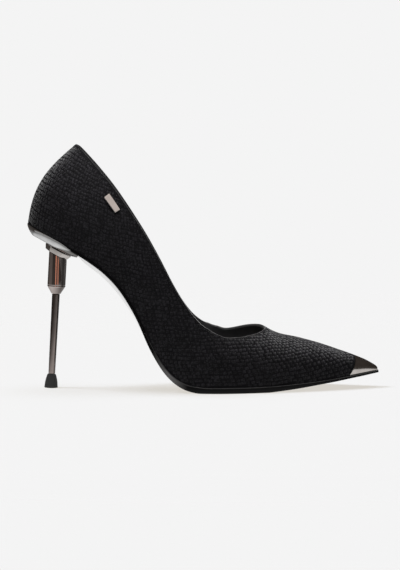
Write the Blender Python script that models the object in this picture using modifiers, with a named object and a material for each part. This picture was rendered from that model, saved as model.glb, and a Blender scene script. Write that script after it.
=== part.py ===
"""High heel, right shoe: a pointed court shoe with a metal toe cap and a turned pin heel.

Metres, +X to the toe, +Y to the inner side of the foot, +Z up. The origin is on the
floor under the middle of the tread. The tables are in millimetres, with x counted from
the back of the heel seat.
"""
import math
from collections import namedtuple

import bmesh
import bpy
from mathutils import Matrix, Vector

MM = 0.001

# Driving sizes of the shoe, in millimetres
LENGTH = 222.0
BALL_WIDTH = 73.0
HEEL_HEIGHT = 104.7

# The sections below are drawn for this sample last and graded to the sizes above
SAMPLE_LENGTH = 222.0
SAMPLE_BALL_WIDTH = 73.0
SAMPLE_HEEL_HEIGHT = 104.7
GRADE_X = LENGTH / SAMPLE_LENGTH
GRADE_Y = BALL_WIDTH / SAMPLE_BALL_WIDTH
GRADE_Z = HEEL_HEIGHT / SAMPLE_HEEL_HEIGHT

TREAD_CENTRE_X = 126.0
GAP = 0.3

# Thicknesses, in millimetres
UPPER_WALL = 1.8
CAP_WALL = 1.0
INSOLE_THICKNESS = 1.6
INSOLE_INSET = 2.9
SOLE_LIP = 0.6

# Mesh fineness: steps, the distance within which points are joined, and the sharpest smooth fold
STEPS_PER_ROW = 2
RIB_STEPS = 9
SOLE_STEPS = 8
ROUND_STEPS = 24
JOIN_WITHIN = 0.01 * MM
SHARP_ANGLE = math.radians(40)

TRIM_SIZE = 60.0 * MM
UPRIGHT = Vector((0, 0, 1))
OUTER = -1
INNER = 1

# Feather line, where upper meets sole, a row for each section from the heel back to the toe
# tip: place and height, half widths to the outer and inner side, and how thick the sole is
# at its edge and along its middle
Feather = namedtuple("Feather", "x z outer inner edge belly")
FEATHER = [Feather(*row) for row in (
    (0.0, 104.7, 0.0, 0.0, 1.2, 1.2),
    (1.0, 104.3, 8.0, 8.0, 1.2, 1.2),
    (4.0, 102.9, 15.5, 15.5, 1.2, 1.2),
    (9.5, 100.1, 20.8, 20.8, 1.2, 1.2),
    (18.0, 95.6, 24.2, 24.0, 1.2, 1.2),
    (28.0, 90.0, 24.8, 24.4, 1.2, 1.2),
    (39.0, 83.1, 23.4, 22.6, 1.2, 2.4),
    (50.0, 74.6, 21.6, 20.0, 1.2, 2.9),
    (60.0, 63.6, 20.6, 17.9, 1.3, 2.9),
    (70.0, 47.2, 21.6, 17.4, 1.4, 2.4),
    (79.5, 27.0, 24.5, 19.5, 1.7, 2.1),
    (89.0, 13.0, 28.6, 23.5, 2.2, 2.3),
    (99.0, 5.9, 33.0, 28.7, 3.0, 3.0),
    (110.0, 3.7, 36.2, 33.2, 3.6, 3.6),
    (121.0, 3.5, 37.0, 35.8, 3.6, 3.6),
    (132.0, 3.5, 35.6, 36.2, 3.6, 3.6),
    (141.0, 3.5, 33.4, 34.9, 3.6, 3.6),
    (149.0, 3.6, 30.8, 33.0, 3.5, 3.5),
    (158.0, 4.1, 27.4, 30.4, 3.3, 3.3),
    (170.0, 5.2, 22.6, 26.7, 3.2, 3.2),
    (183.0, 6.7, 16.7, 22.0, 3.0, 3.0),
    (194.0, 8.0, 11.4, 17.9, 2.8, 2.8),
    (203.5, 9.2, 6.6, 14.4, 2.5, 2.5),
    (212.0, 10.2, 2.0, 11.2, 2.2, 2.2),
    (218.3, 10.9, -2.0, 8.6, 1.9, 1.9),
    (221.2, 11.2, -4.2, 7.0, 1.8, 1.8),
    (222.0, 11.3, -5.6, 5.6, 1.8, 1.8),
)]

# Upper end of each section: the topline, from row 13 the instep that the throat cuts away,
# and from the throat's row the ridge of the vamp. Drop lowers the inner side, flare swings
# the section out at its foot, and lean turns it in at its top, where 1 is level
Top = namedtuple("Top", "x z outer inner drop flare lean")
TOPS = [Top(*row) for row in (
    (30.3, 154.4, 0.0, 0.0, 0.0, 0.41, 0.34),
    (30.9, 154.2, 6.0, 6.0, 0.0, 0.40, 0.33),
    (33.0, 152.6, 11.5, 11.5, 0.0, 0.37, 0.31),
    (37.8, 147.5, 15.6, 15.6, 0.1, 0.33, 0.28),
    (45.5, 138.8, 18.4, 18.2, 0.3, 0.30, 0.24),
    (55.0, 127.2, 20.2, 19.8, 0.8, 0.28, 0.20),
    (65.5, 112.3, 21.3, 20.6, 1.5, 0.26, 0.17),
    (75.0, 97.7, 22.2, 21.2, 2.3, 0.24, 0.15),
    (83.5, 82.8, 23.0, 21.8, 3.1, 0.22, 0.14),
    (91.0, 68.6, 24.2, 22.7, 3.8, 0.22, 0.14),
    (98.5, 56.4, 25.8, 24.0, 4.2, 0.24, 0.15),
    (106.0, 46.4, 27.6, 25.8, 3.4, 0.28, 0.18),
    (114.0, 39.8, 29.0, 27.6, 1.8, 0.34, 0.26),
    (123.0, 39.8, 25.0, 24.2, 0.4, 0.43, 0.40),
    (131.0, 42.4, 14.6, 14.4, -1.0, 0.54, 0.58),
    (137.8, 42.6, 5.2, 4.8, -1.9, 0.64, 0.80),
    (144.0, 40.6, 0.2, -0.2, 0.0, 0.71, 0.94),
    (150.6, 37.7, 0.0, 0.0, 0.0, 0.77, 1.00),
    (159.0, 35.2, -0.3, 0.3, 0.0, 0.81, 1.00),
    (171.0, 32.1, -0.9, 0.9, 0.0, 0.84, 1.00),
    (184.5, 28.4, -1.8, 1.8, 0.0, 0.86, 1.00),
    (196.0, 24.5, -2.8, 2.8, 0.0, 0.86, 1.00),
    (206.0, 20.9, -3.8, 3.8, 0.0, 0.84, 1.00),
    (213.4, 17.9, -4.7, 4.7, 0.0, 0.78, 1.00),
    (217.9, 15.5, -5.3, 5.3, 0.0, 0.70, 1.00),
    (220.0, 14.2, -5.6, 5.6, 0.0, 0.60, 1.00),
    (220.7, 13.7, -5.6, 5.6, 0.0, 0.55, 1.00),
)]
LAST_ROW = len(FEATHER) - 1
THROAT_SIDE_ROW = 12
THROAT_ROW = 17
CAP_ROW = 22
INSOLE_END_ROW = 23
CUP_END_ROW = 5.5
THROAT_BLEND_ROWS = 4.0
HANDLE_AT_FOOT = 0.42
HANDLE_AT_TOP = 0.42
ROW_NUDGE = 0.05
PITCH_SPAN = 0.5

# The throat is half an ellipse seen from above, as wide as the topline where it starts
THROAT_CENTRE_X = 118.0
THROAT_REACH = TOPS[THROAT_ROW].x - THROAT_CENTRE_X
THROAT_STEPS = 5
THROAT_FINE_ROWS = 2
CUT_TRIALS = 30

# Heel, in millimetres: where its axis meets the floor, and the nut under the dish
HEEL_FOOT_X = 14.2
NUT_X = 19.2
NUT_ACROSS_CORNERS = 17.2
NUT_THICKNESS = 2.9
NUT_EDGE = 0.25
CUP_DEPTH = 3.2
CUP_EDGE = 0.7
CUP_FULLNESS = 1.5
CUP_ROUNDING = 0.75
CUP_INSET = 0.4
CUP_MIDDLE_X = 17.0
CUP_FRONT_X = 36.0

# Turned profiles of the heel, from the top down: radius and height along the axis
BARREL_PROFILE = ((5.5, 96.0), (5.5, 64.6), (5.25, 64.2), (2.95, 60.0))
ROD_PROFILE = ((2.45, 59.7), (2.15, 9.1))
TIP_PROFILE = ((2.3, 8.8), (3.2, 6.0), (4.1, 1.4), (4.25, 0.5), (4.25, -1.5))

# Side plate: its place on the outer side (row and share of the section) and its size
PLATE_ROW = 5.25
PLATE_SHARE = 0.865
PLATE_LENGTH = 12.5
PLATE_WIDTH = 4.4
PLATE_THICKNESS = 1.3
PLATE_STEPS = (6, 3)

# Colour, roughness and metallic value of each material
FINISHES = {
    "upper_leather": ((0.012, 0.011, 0.013), 0.75, 0.0),
    "sole_gloss": ((0.008, 0.008, 0.009), 0.12, 0.0),
    "insole_leather": ((0.020, 0.020, 0.021), 0.6, 0.0),
    "gunmetal": ((0.20, 0.185, 0.18), 0.18, 1.0),
    "rubber": ((0.015, 0.015, 0.015), 0.7, 0.0),
}


def clear_scene():
    for item in list(bpy.data.objects):
        bpy.data.objects.remove(item, do_unlink=True)


def make_collection(name):
    collection = bpy.data.collections.new(name)
    bpy.context.scene.collection.children.link(collection)
    return collection


def make_material(name):
    colour, roughness, metallic = FINISHES[name]
    material = bpy.data.materials.new(name)
    material.use_nodes = True
    shader = material.node_tree.nodes["Principled BSDF"]
    shader.inputs["Base Color"].default_value = (*colour, 1.0)
    shader.inputs["Roughness"].default_value = roughness
    shader.inputs["Metallic"].default_value = metallic
    return material


def blend_four(before, start, end, after, part):
    """Value between start and end on a smooth curve through four values."""
    slope = end - before
    bend = 2 * before - 5 * start + 4 * end - after
    twist = 3 * (start - end) + after - before
    return 0.5 * (2 * start + slope * part + bend * part ** 2 + twist * part ** 3)


def smooth_row(rows, before, after, place):
    """Row at a place between two rows, on smooth curves through all of them."""
    padded = [before, *rows, after]
    index = min(int(place), len(rows) - 2)
    columns = zip(*padded[index:index + 4])
    return type(rows[0])(*(blend_four(*column, place - index) for column in columns))


def turned_back(row):
    """The row past an end, where the outline turns round and comes back on the other side."""
    return row._replace(outer=-row.inner, inner=-row.outer)


def carried_on(row, end):
    """The row past an end of the ridge, carried straight on."""
    return type(end)(*(2 * e - r for r, e in zip(row, end)))


def feather_at(place):
    return smooth_row(FEATHER, turned_back(FEATHER[1]), turned_back(FEATHER[-2]), place)


def top_at(place):
    return smooth_row(TOPS, turned_back(TOPS[1]), carried_on(TOPS[-2], TOPS[-1]), place)


def graded(x, y, z):
    """Point of the sample last, in metres in the shoe's frame."""
    return Vector(((x * GRADE_X - TREAD_CENTRE_X) * MM, y * GRADE_Y * MM, z * GRADE_Z * MM))


def foot_point(place, side):
    if place < 0:
        place, side = -place, -side
    if place > LAST_ROW:
        place, side = 2 * LAST_ROW - place, -side
    row = feather_at(place)
    return graded(row.x, -row.outer if side == OUTER else row.inner, row.z)


def top_point(place, side):
    row = top_at(place)
    if side == OUTER:
        return graded(row.x, -row.outer, row.z)
    return graded(row.x, row.inner, row.z - row.drop)


def outward(place, side):
    """Level direction square to the feather line, out of the shoe."""
    run = foot_point(place + ROW_NUDGE, side) - foot_point(place - ROW_NUDGE, side)
    return Vector((-side * run.y, side * run.x, 0)).normalized()


def section_up(place):
    """Direction square to the sole in the shoe's side view."""
    middle = min(max(place, 1.0), LAST_ROW - 1.0)
    run = foot_point(middle + PITCH_SPAN, OUTER) - foot_point(middle - PITCH_SPAN, OUTER)
    return Vector((-run.z, 0, run.x)).normalized()


def ridge_direction(place):
    """Direction of the vamp's ridge, fading to level behind the throat."""
    middle = min(max(place, THROAT_ROW + ROW_NUDGE), LAST_ROW - ROW_NUDGE)
    run = top_point(middle + ROW_NUDGE, INNER) - top_point(middle - ROW_NUDGE, INNER)
    slope = run.z / run.x
    near = max(1.0 - max(THROAT_ROW - place, 0.0) / THROAT_BLEND_ROWS, 0.0)
    return Vector((1, 0, slope * near ** 2 * (3 - 2 * near))).normalized()


def last_point(place, side, share):
    """Point of the last's surface on a section, from its foot (0) to its top (1)."""
    foot = foot_point(place, side)
    top = top_point(place, side)
    row = top_at(place)
    out = outward(place, side)
    chord = top - foot
    length = chord.length
    chord.normalize()
    inward = -(ridge_direction(place) * out.x + Vector((0, out.y, 0)))
    rise = (chord + out * row.flare).normalized()
    arrive = (chord * (1 - row.lean) + inward * row.lean).normalized()
    low = foot + rise * length * HANDLE_AT_FOOT
    high = top - arrive * length * HANDLE_AT_TOP
    rest = 1 - share
    return (foot * rest ** 3 + low * 3 * share * rest ** 2
            + high * 3 * share ** 2 * rest + top * share ** 3)


def is_past_throat(point, side):
    """Whether a point of the last lies inside the throat, seen from above."""
    edge = TOPS[THROAT_SIDE_ROW]
    width = edge.outer if side == OUTER else edge.inner
    along = max(point.x / MM + TREAD_CENTRE_X - THROAT_CENTRE_X * GRADE_X, 0.0)
    across = point.y / MM / (width * GRADE_Y)
    return (along / (THROAT_REACH * GRADE_X)) ** 2 + across ** 2 < 1.0


def topline_share(place, side):
    """Share of a section that is left when the throat is cut out."""
    if not THROAT_SIDE_ROW < place < THROAT_ROW:
        return 1.0
    low, high = 0.0, 1.0
    for trial in range(CUT_TRIALS):
        middle = (low + high) / 2
        if is_past_throat(last_point(place, side, middle), side):
            high = middle
        else:
            low = middle
    return low


def last_normal(place, side, share):
    """Direction out of the last's surface."""
    along = last_point(place + ROW_NUDGE, side, share) - last_point(place - ROW_NUDGE, side, share)
    up = last_point(place, side, share + ROW_NUDGE) - last_point(place, side, share - ROW_NUDGE)
    return (along.cross(up) * -side).normalized()


def places_between(start, end):
    count = max(1, math.ceil((end - start) * STEPS_PER_ROW))
    return [start + (end - start) * i / count for i in range(count + 1)]


def add_object(name, mesh, material, collection):
    piece = bpy.data.objects.new(name, mesh)
    mesh.materials.append(material)
    collection.objects.link(piece)
    return piece


def smooth_shading(mesh):
    mesh.shade_smooth()
    mesh.set_sharp_from_angle(angle=SHARP_ANGLE)


def sheet_mesh(name, ribs):
    """Open surface through ribs of points, each from its foot to its top."""
    shape = bmesh.new()
    grid = [[shape.verts.new(point) for point in rib] for rib in ribs]
    for rib, after in zip(grid, grid[1:]):
        for low in range(len(rib) - 1):
            shape.faces.new((rib[low], rib[low + 1], after[low + 1], after[low]))
    bmesh.ops.remove_doubles(shape, verts=shape.verts, dist=JOIN_WITHIN)
    mesh = bpy.data.meshes.new(name)
    shape.to_mesh(mesh)
    shape.free()
    smooth_shading(mesh)
    return mesh


def add_wall(piece, thickness, offset=-1.0):
    wall = piece.modifiers.new("wall", "SOLIDIFY")
    wall.thickness = thickness * MM
    wall.offset = offset
    wall.use_even_offset = True
    wall.use_quality_normals = True
    return wall


def section_rib(place, side):
    whole = topline_share(place, side)
    return [last_point(place, side, whole * step / RIB_STEPS) for step in range(RIB_STEPS + 1)]


def upper_places(end):
    """Sections of the upper, closer together where the topline turns round the throat."""
    fine_start = THROAT_ROW - THROAT_FINE_ROWS
    shares = [(1 - step / THROAT_STEPS) ** 2 for step in range(1, THROAT_STEPS)]
    fine = [THROAT_ROW - THROAT_FINE_ROWS * share for share in shares]
    return places_between(0, fine_start) + fine + places_between(THROAT_ROW, end)


def build_upper(material, collection):
    row_gap = GAP / (FEATHER[CAP_ROW].x - FEATHER[CAP_ROW - 1].x)
    places = upper_places(CAP_ROW - row_gap)
    ribs = [section_rib(place, OUTER) for place in reversed(places)]
    ribs += [section_rib(place, INNER) for place in places[1:]]
    upper = add_object("upper", sheet_mesh("upper", ribs), material, collection)
    add_wall(upper, UPPER_WALL)


def build_toe_cap(material, collection):
    places = places_between(CAP_ROW, LAST_ROW)
    ribs = [section_rib(place, INNER) for place in places]
    ribs += [section_rib(place, OUTER) for place in reversed(places[:-1])]
    cap = add_object("toe_cap", sheet_mesh("toe_cap", ribs), material, collection)
    add_wall(cap, CAP_WALL)


def sole_edge(place, side, outset):
    """Point of the feather line moved out in the plane of the sole."""
    up = section_up(place)
    out = outward(place, side)
    out = (out - up * out.dot(up)).normalized()
    return foot_point(place, side) + out * outset * MM


def cross_line(place, outset, rises):
    """Points across the shoe at a section, each raised square to the sole."""
    up = section_up(place)
    left = sole_edge(place, OUTER, outset)
    right = sole_edge(place, INNER, outset)
    last = len(rises) - 1
    return [left.lerp(right, i / last) + up * rise * MM for i, rise in enumerate(rises)]


def slab_mesh(name, lower, upper):
    """Closed solid between two stacks of cross lines."""
    shape = bmesh.new()
    bottoms = [[shape.verts.new(point) for point in line] for line in lower]
    tops = [[shape.verts.new(point) for point in line] for line in upper]
    last = len(lower[0]) - 1
    for i in range(len(lower) - 1):
        for j in range(last):
            shape.faces.new((bottoms[i][j], bottoms[i][j + 1], bottoms[i + 1][j + 1], bottoms[i + 1][j]))
            shape.faces.new((tops[i][j], tops[i + 1][j], tops[i + 1][j + 1], tops[i][j + 1]))
        for j in (0, last):
            shape.faces.new((bottoms[i][j], bottoms[i + 1][j], tops[i + 1][j], tops[i][j]))
    for i in (0, len(lower) - 1):
        for j in range(last):
            shape.faces.new((bottoms[i][j], bottoms[i][j + 1], tops[i][j + 1], tops[i][j]))
    bmesh.ops.remove_doubles(shape, verts=shape.verts, dist=JOIN_WITHIN)
    bmesh.ops.dissolve_degenerate(shape, edges=shape.edges, dist=JOIN_WITHIN / 10)
    bmesh.ops.recalc_face_normals(shape, faces=shape.faces)
    mesh = bpy.data.meshes.new(name)
    shape.to_mesh(mesh)
    shape.free()
    smooth_shading(mesh)
    return mesh


def across_shares(steps):
    return [2 * i / steps - 1 for i in range(steps + 1)]


def sole_depth(row, share):
    """Depth of the sole's underside under the feather line, full at the middle."""
    return GAP + row.edge + (row.belly - row.edge) * (1 - share ** 2)


def build_outsole(material, collection):
    lower = []
    upper = []
    for place in places_between(0, LAST_ROW):
        row = feather_at(place)
        depths = [sole_depth(row, share) for share in across_shares(SOLE_STEPS)]
        under = cross_line(place, SOLE_LIP, [-depth for depth in depths])
        lower.append([Vector((p.x, p.y, max(p.z, 0.0))) for p in under])
        upper.append(cross_line(place, SOLE_LIP, [-GAP] * len(depths)))
    add_object("outsole", slab_mesh("outsole", lower, upper), material, collection)


def build_insole(material, collection):
    lower = []
    upper = []
    for place in places_between(0, INSOLE_END_ROW):
        count = SOLE_STEPS // 2 + 1
        lower.append(cross_line(place, -INSOLE_INSET, [0.0] * count))
        upper.append(cross_line(place, -INSOLE_INSET, [INSOLE_THICKNESS] * count))
    add_object("insole", slab_mesh("insole", lower, upper), material, collection)


def cup_depth(x, share):
    """Depth of the dish below its own upper face."""
    reach = CUP_MIDDLE_X if x < CUP_MIDDLE_X else CUP_FRONT_X - CUP_MIDDLE_X
    along = min(abs(x - CUP_MIDDLE_X) / reach, 1.0)
    bowl = CUP_FULLNESS * CUP_DEPTH * (1 - along ** 2) ** CUP_ROUNDING * math.sqrt(1 - share ** 2)
    return max(CUP_EDGE, min(bowl, CUP_DEPTH))


def build_heel_cup(material, collection):
    lower = []
    upper = []
    for place in places_between(0, CUP_END_ROW):
        row = feather_at(place)
        shares = across_shares(2 * SOLE_STEPS)
        faces = [-sole_depth(row, share) - GAP for share in shares]
        bottoms = [face - cup_depth(row.x, share) for face, share in zip(faces, shares)]
        lower.append(cross_line(place, -CUP_INSET, bottoms))
        upper.append(cross_line(place, -CUP_INSET, faces))
    add_object("heel_cup", slab_mesh("heel_cup", lower, upper), material, collection)


def seat_frame():
    """Middle of the nut's upper face, and the direction square to the heel seat."""
    places = places_between(0, CUP_END_ROW)
    place = min(places, key=lambda item: abs(feather_at(item).x - CUP_MIDDLE_X))
    up = section_up(place)
    seat = foot_point(place, OUTER)
    depth = sole_depth(feather_at(place), 0) + GAP + CUP_DEPTH + GAP
    level = seat - up * depth * MM
    along = (NUT_X - TREAD_CENTRE_X) * MM
    height = level.z - up.x / up.z * (along - level.x)
    return Vector((along, 0, height)), up


def turn_from_upright(direction):
    return UPRIGHT.rotation_difference(direction).to_matrix().to_4x4()


def build_heel_nut(material, collection):
    face, up = seat_frame()
    shape = bmesh.new()
    radius = NUT_ACROSS_CORNERS / 2 * MM
    bmesh.ops.create_cone(shape, cap_ends=True, segments=6, radius1=radius, radius2=radius,
                          depth=NUT_THICKNESS * MM)
    turn = turn_from_upright(up)
    corner_first = Matrix.Rotation(math.radians(90), 4, "Z")
    middle = face - up * NUT_THICKNESS / 2 * MM
    bmesh.ops.transform(shape, verts=shape.verts, matrix=Matrix.Translation(middle) @ turn @ corner_first)
    mesh = bpy.data.meshes.new("heel_nut")
    shape.to_mesh(mesh)
    shape.free()
    nut = add_object("heel_nut", mesh, material, collection)
    edge = nut.modifiers.new("edge", "BEVEL")
    edge.width = NUT_EDGE * MM
    edge.segments = 1


def heel_foot():
    """Where the heel's axis meets the floor."""
    return Vector(((HEEL_FOOT_X - TREAD_CENTRE_X) * MM, 0, 0))


def heel_axis():
    """Frame of the heel's axis, from the floor up to the nut."""
    face = seat_frame()[0]
    foot = heel_foot()
    turn = turn_from_upright(face - foot)
    return Matrix.Translation(foot) @ turn


def turned_piece(name, profile, material, collection):
    """Solid turned about the heel's axis from a profile that runs from its top down."""
    mesh = bpy.data.meshes.new(name)
    outline = [(0.0, profile[0][1]), *profile, (0.0, profile[-1][1])]
    points = [(radius * MM, 0.0, height * MM) for radius, height in outline]
    mesh.from_pydata(points, [(i, i + 1) for i in range(len(points) - 1)], [])
    piece = add_object(name, mesh, material, collection)
    piece.matrix_world = heel_axis()
    screw = piece.modifiers.new("turn", "SCREW")
    screw.steps = ROUND_STEPS
    screw.render_steps = ROUND_STEPS
    screw.use_merge_vertices = True
    screw.merge_threshold = JOIN_WITHIN
    return piece


def trim_block(name, face, direction, cutters):
    """Block that takes away all on one side of a plane."""
    bpy.ops.mesh.primitive_cube_add(size=TRIM_SIZE)
    block = bpy.context.object
    block.name = name
    middle = face + direction * TRIM_SIZE / 2
    block.matrix_world = Matrix.Translation(middle) @ turn_from_upright(direction)
    for owner in list(block.users_collection):
        owner.objects.unlink(block)
    cutters.objects.link(block)
    block.hide_render = True
    block.display_type = "WIRE"
    return block


def trim(piece, block):
    cut = piece.modifiers.new("trim", "BOOLEAN")
    cut.operation = "DIFFERENCE"
    cut.solver = "EXACT"
    cut.object = block


def build_heel(metal, rubber, collection, cutters):
    face, up = seat_frame()
    barrel = turned_piece("heel_barrel", BARREL_PROFILE, metal, collection)
    under_nut = face - up * (NUT_THICKNESS + GAP) * MM
    trim(barrel, trim_block("nut_side", under_nut, up, cutters))
    turned_piece("heel_rod", ROD_PROFILE, metal, collection)
    tip = turned_piece("heel_tip", TIP_PROFILE, rubber, collection)
    trim(tip, trim_block("floor_side", heel_foot(), -UPRIGHT, cutters))


def build_side_plate(material, collection):
    """Plain plate that follows the upper's surface on the outer side."""
    middle = last_point(PLATE_ROW, OUTER, PLATE_SHARE)
    by_row = (last_point(PLATE_ROW + ROW_NUDGE, OUTER, PLATE_SHARE) - middle) / ROW_NUDGE
    by_share = (last_point(PLATE_ROW, OUTER, PLATE_SHARE + ROW_NUDGE) - middle) / ROW_NUDGE
    topline = top_point(PLATE_ROW + ROW_NUDGE, OUTER) - top_point(PLATE_ROW - ROW_NUDGE, OUTER)
    normal = last_normal(PLATE_ROW, OUTER, PLATE_SHARE)
    along = (topline - normal * topline.dot(normal)).normalized()
    across = along.cross(normal)
    frame = Matrix((by_row, by_share, normal)).transposed().inverted()
    steps_along, steps_across = PLATE_STEPS
    ribs = []
    for i in range(steps_along + 1):
        rib = []
        for j in range(steps_across + 1):
            reach = along * (i / steps_along - 0.5) * PLATE_LENGTH * MM
            reach = reach + across * (j / steps_across - 0.5) * PLATE_WIDTH * MM
            shift = frame @ reach
            place = PLATE_ROW + shift.x
            share = PLATE_SHARE + shift.y
            out = last_normal(place, OUTER, share)
            rib.append(last_point(place, OUTER, share) + out * GAP * MM)
        ribs.append(rib)
    plate = add_object("side_plate", sheet_mesh("side_plate", ribs), material, collection)
    add_wall(plate, PLATE_THICKNESS, offset=1.0)


def main():
    clear_scene()
    shoe = make_collection("high_heel")
    cutters = make_collection("cutters")
    finish = {name: make_material(name) for name in FINISHES}
    build_upper(finish["upper_leather"], shoe)
    build_toe_cap(finish["gunmetal"], shoe)
    build_outsole(finish["sole_gloss"], shoe)
    build_insole(finish["insole_leather"], shoe)
    build_heel_cup(finish["gunmetal"], shoe)
    build_heel_nut(finish["gunmetal"], shoe)
    build_heel(finish["gunmetal"], finish["rubber"], shoe, cutters)
    build_side_plate(finish["gunmetal"], shoe)


main()
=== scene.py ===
"""Looks of the high heel, a right shoe, dressed over its solids.

Metres, +X to the toe, +Y to the inner side of the foot, +Z up. The tables are in
millimetres, with x counted from the back of the heel seat, as in the part's own source.
"""

import math
from collections import namedtuple
from functools import lru_cache

import bmesh
import bpy
import numpy
from mathutils import Matrix, Vector
from mathutils.kdtree import KDTree


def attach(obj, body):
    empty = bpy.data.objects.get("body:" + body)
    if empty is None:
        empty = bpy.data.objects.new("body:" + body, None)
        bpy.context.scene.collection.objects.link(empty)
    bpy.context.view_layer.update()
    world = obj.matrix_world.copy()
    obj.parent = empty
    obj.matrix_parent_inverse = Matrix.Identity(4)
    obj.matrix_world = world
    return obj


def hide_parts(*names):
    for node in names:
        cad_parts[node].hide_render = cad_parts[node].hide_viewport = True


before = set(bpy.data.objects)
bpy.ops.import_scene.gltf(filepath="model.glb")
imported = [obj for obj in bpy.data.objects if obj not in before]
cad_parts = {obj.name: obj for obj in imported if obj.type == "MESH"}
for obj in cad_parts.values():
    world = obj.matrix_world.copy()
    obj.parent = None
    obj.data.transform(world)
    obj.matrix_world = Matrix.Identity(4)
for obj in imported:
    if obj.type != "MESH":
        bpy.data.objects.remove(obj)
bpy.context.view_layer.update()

MM = 0.001
BODY = "root"
UPRIGHT = Vector((0, 0, 1))
OUTER = -1
INNER = 1
TREAD_CENTRE_X = 126.0
GAP = 0.3

# Feather line, where upper meets sole, a row for each section from the heel back to the toe
# tip: place and height, half widths to the outer and inner side, and how thick the sole is
# at its edge and along its middle
Feather = namedtuple("Feather", "x z outer inner edge belly")
FEATHER = [Feather(*row) for row in (
    (0.0, 104.7, 0.0, 0.0, 1.2, 1.2),
    (1.0, 104.3, 8.0, 8.0, 1.2, 1.2),
    (4.0, 102.9, 15.5, 15.5, 1.2, 1.2),
    (9.5, 100.1, 20.8, 20.8, 1.2, 1.2),
    (18.0, 95.6, 24.2, 24.0, 1.2, 1.2),
    (28.0, 90.0, 24.8, 24.4, 1.2, 1.2),
    (39.0, 83.1, 23.4, 22.6, 1.2, 4.4),
    (50.0, 74.6, 21.6, 20.0, 1.2, 4.6),
    (60.0, 63.6, 20.6, 17.9, 1.3, 4.4),
    (70.0, 47.2, 21.6, 17.4, 1.4, 3.4),
    (79.5, 27.0, 24.5, 19.5, 1.7, 2.1),
    (89.0, 13.0, 28.6, 23.5, 2.2, 2.3),
    (99.0, 5.9, 33.0, 28.7, 3.0, 3.0),
    (110.0, 3.7, 36.2, 33.2, 3.6, 3.6),
    (121.0, 3.5, 37.0, 35.8, 3.6, 3.6),
    (132.0, 3.5, 35.6, 36.2, 3.6, 3.6),
    (141.0, 3.5, 33.4, 34.9, 3.6, 3.6),
    (149.0, 3.6, 30.8, 33.0, 3.5, 3.5),
    (158.0, 3.9, 27.4, 30.4, 3.1, 3.1),
    (170.0, 4.6, 22.6, 26.7, 2.6, 2.6),
    (183.0, 5.6, 16.7, 22.0, 1.9, 1.9),
    (194.0, 6.7, 11.4, 17.9, 1.5, 1.5),
    (203.5, 8.0, 6.6, 14.4, 1.3, 1.3),
    (212.0, 9.2, 2.0, 11.2, 1.2, 1.2),
    (218.3, 10.15, -2.0, 8.6, 1.15, 1.15),
    (221.2, 10.5, -4.2, 7.0, 1.1, 1.1),
    (222.0, 10.6, -5.6, 5.6, 1.1, 1.1),
)]

# Upper end of each section: the topline, from row 13 the instep that the throat cuts away,
# and from the throat's row the ridge of the vamp. Drop lowers the inner side, flare swings
# the section out at its foot, and lean turns it in at its top, where 1 is level
Top = namedtuple("Top", "x z outer inner drop flare lean")
TOPS = [Top(*row) for row in (
    (30.3, 154.4, 0.0, 0.0, 0.0, 0.41, 0.34),
    (30.9, 154.2, 6.0, 6.0, 0.0, 0.40, 0.33),
    (33.0, 152.6, 11.5, 11.5, 0.0, 0.37, 0.31),
    (37.8, 147.5, 15.6, 15.6, 0.1, 0.33, 0.28),
    (45.5, 138.8, 18.4, 18.2, 0.3, 0.30, 0.24),
    (55.0, 127.2, 20.2, 19.8, 0.8, 0.28, 0.20),
    (65.5, 112.3, 21.3, 20.6, 1.5, 0.26, 0.17),
    (75.0, 97.7, 22.2, 21.2, 2.3, 0.24, 0.15),
    (83.5, 82.8, 23.0, 21.8, 3.1, 0.22, 0.14),
    (91.0, 68.6, 24.2, 22.7, 3.8, 0.22, 0.14),
    (98.5, 56.4, 25.8, 24.0, 4.2, 0.24, 0.15),
    (106.0, 46.4, 27.6, 25.8, 2.9, 0.28, 0.18),
    (114.0, 39.8, 29.0, 27.6, 0.9, 0.34, 0.26),
    (123.0, 39.8, 25.0, 24.2, -0.7, 0.43, 0.40),
    (131.0, 42.4, 14.6, 14.4, -1.2, 0.54, 0.58),
    (137.8, 42.6, 5.2, 4.8, -2.4, 0.64, 0.80),
    (144.0, 40.9, 0.2, -0.2, -2.3, 0.71, 0.94),
    (150.6, 38.6, 0.0, 0.0, 0.0, 0.77, 1.00),
    (159.0, 34.7, -0.3, 0.3, 0.0, 0.81, 1.00),
    (171.0, 32.1, -0.9, 0.9, 0.0, 0.84, 1.00),
    (184.5, 28.4, -1.8, 1.8, 0.0, 0.86, 1.00),
    (196.0, 24.5, -2.8, 2.8, 0.0, 0.86, 1.00),
    (206.0, 20.9, -3.8, 3.8, 0.0, 0.84, 1.00),
    (213.4, 17.9, -4.7, 4.7, 0.0, 0.78, 1.00),
    (217.9, 15.5, -5.3, 5.3, 0.0, 0.70, 1.00),
    (220.0, 14.2, -5.6, 5.6, 0.0, 0.60, 1.00),
    (220.7, 13.7, -5.6, 5.6, 0.0, 0.55, 1.00),
)]
LAST_ROW = len(FEATHER) - 1
THROAT_SIDE_ROW = 12
THROAT_ROW = 17
CAP_ROW = 22
INSOLE_END_ROW = 23
CUP_END_ROW = 5.5

# Sections of the last: how far the handles of their curves reach, the small steps over which
# directions are taken, and the rows over which the ridge's slope fades out behind the throat
HANDLE_AT_FOOT = 0.42
HANDLE_AT_TOP = 0.42
ROW_NUDGE = 0.05
PITCH_SPAN = 0.5
THROAT_BLEND_ROWS = 4.0

# The throat is an oval seen from above, as wide as the topline where it starts. Fullness is the
# power of its curve on each side, where 2 is an ellipse
THROAT_CENTRE_X = 118.0
THROAT_REACH = TOPS[THROAT_ROW].x - THROAT_CENTRE_X
THROAT_FULLNESS = {OUTER: 2.0, INNER: 1.8}
CUT_TRIALS = 30

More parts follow.
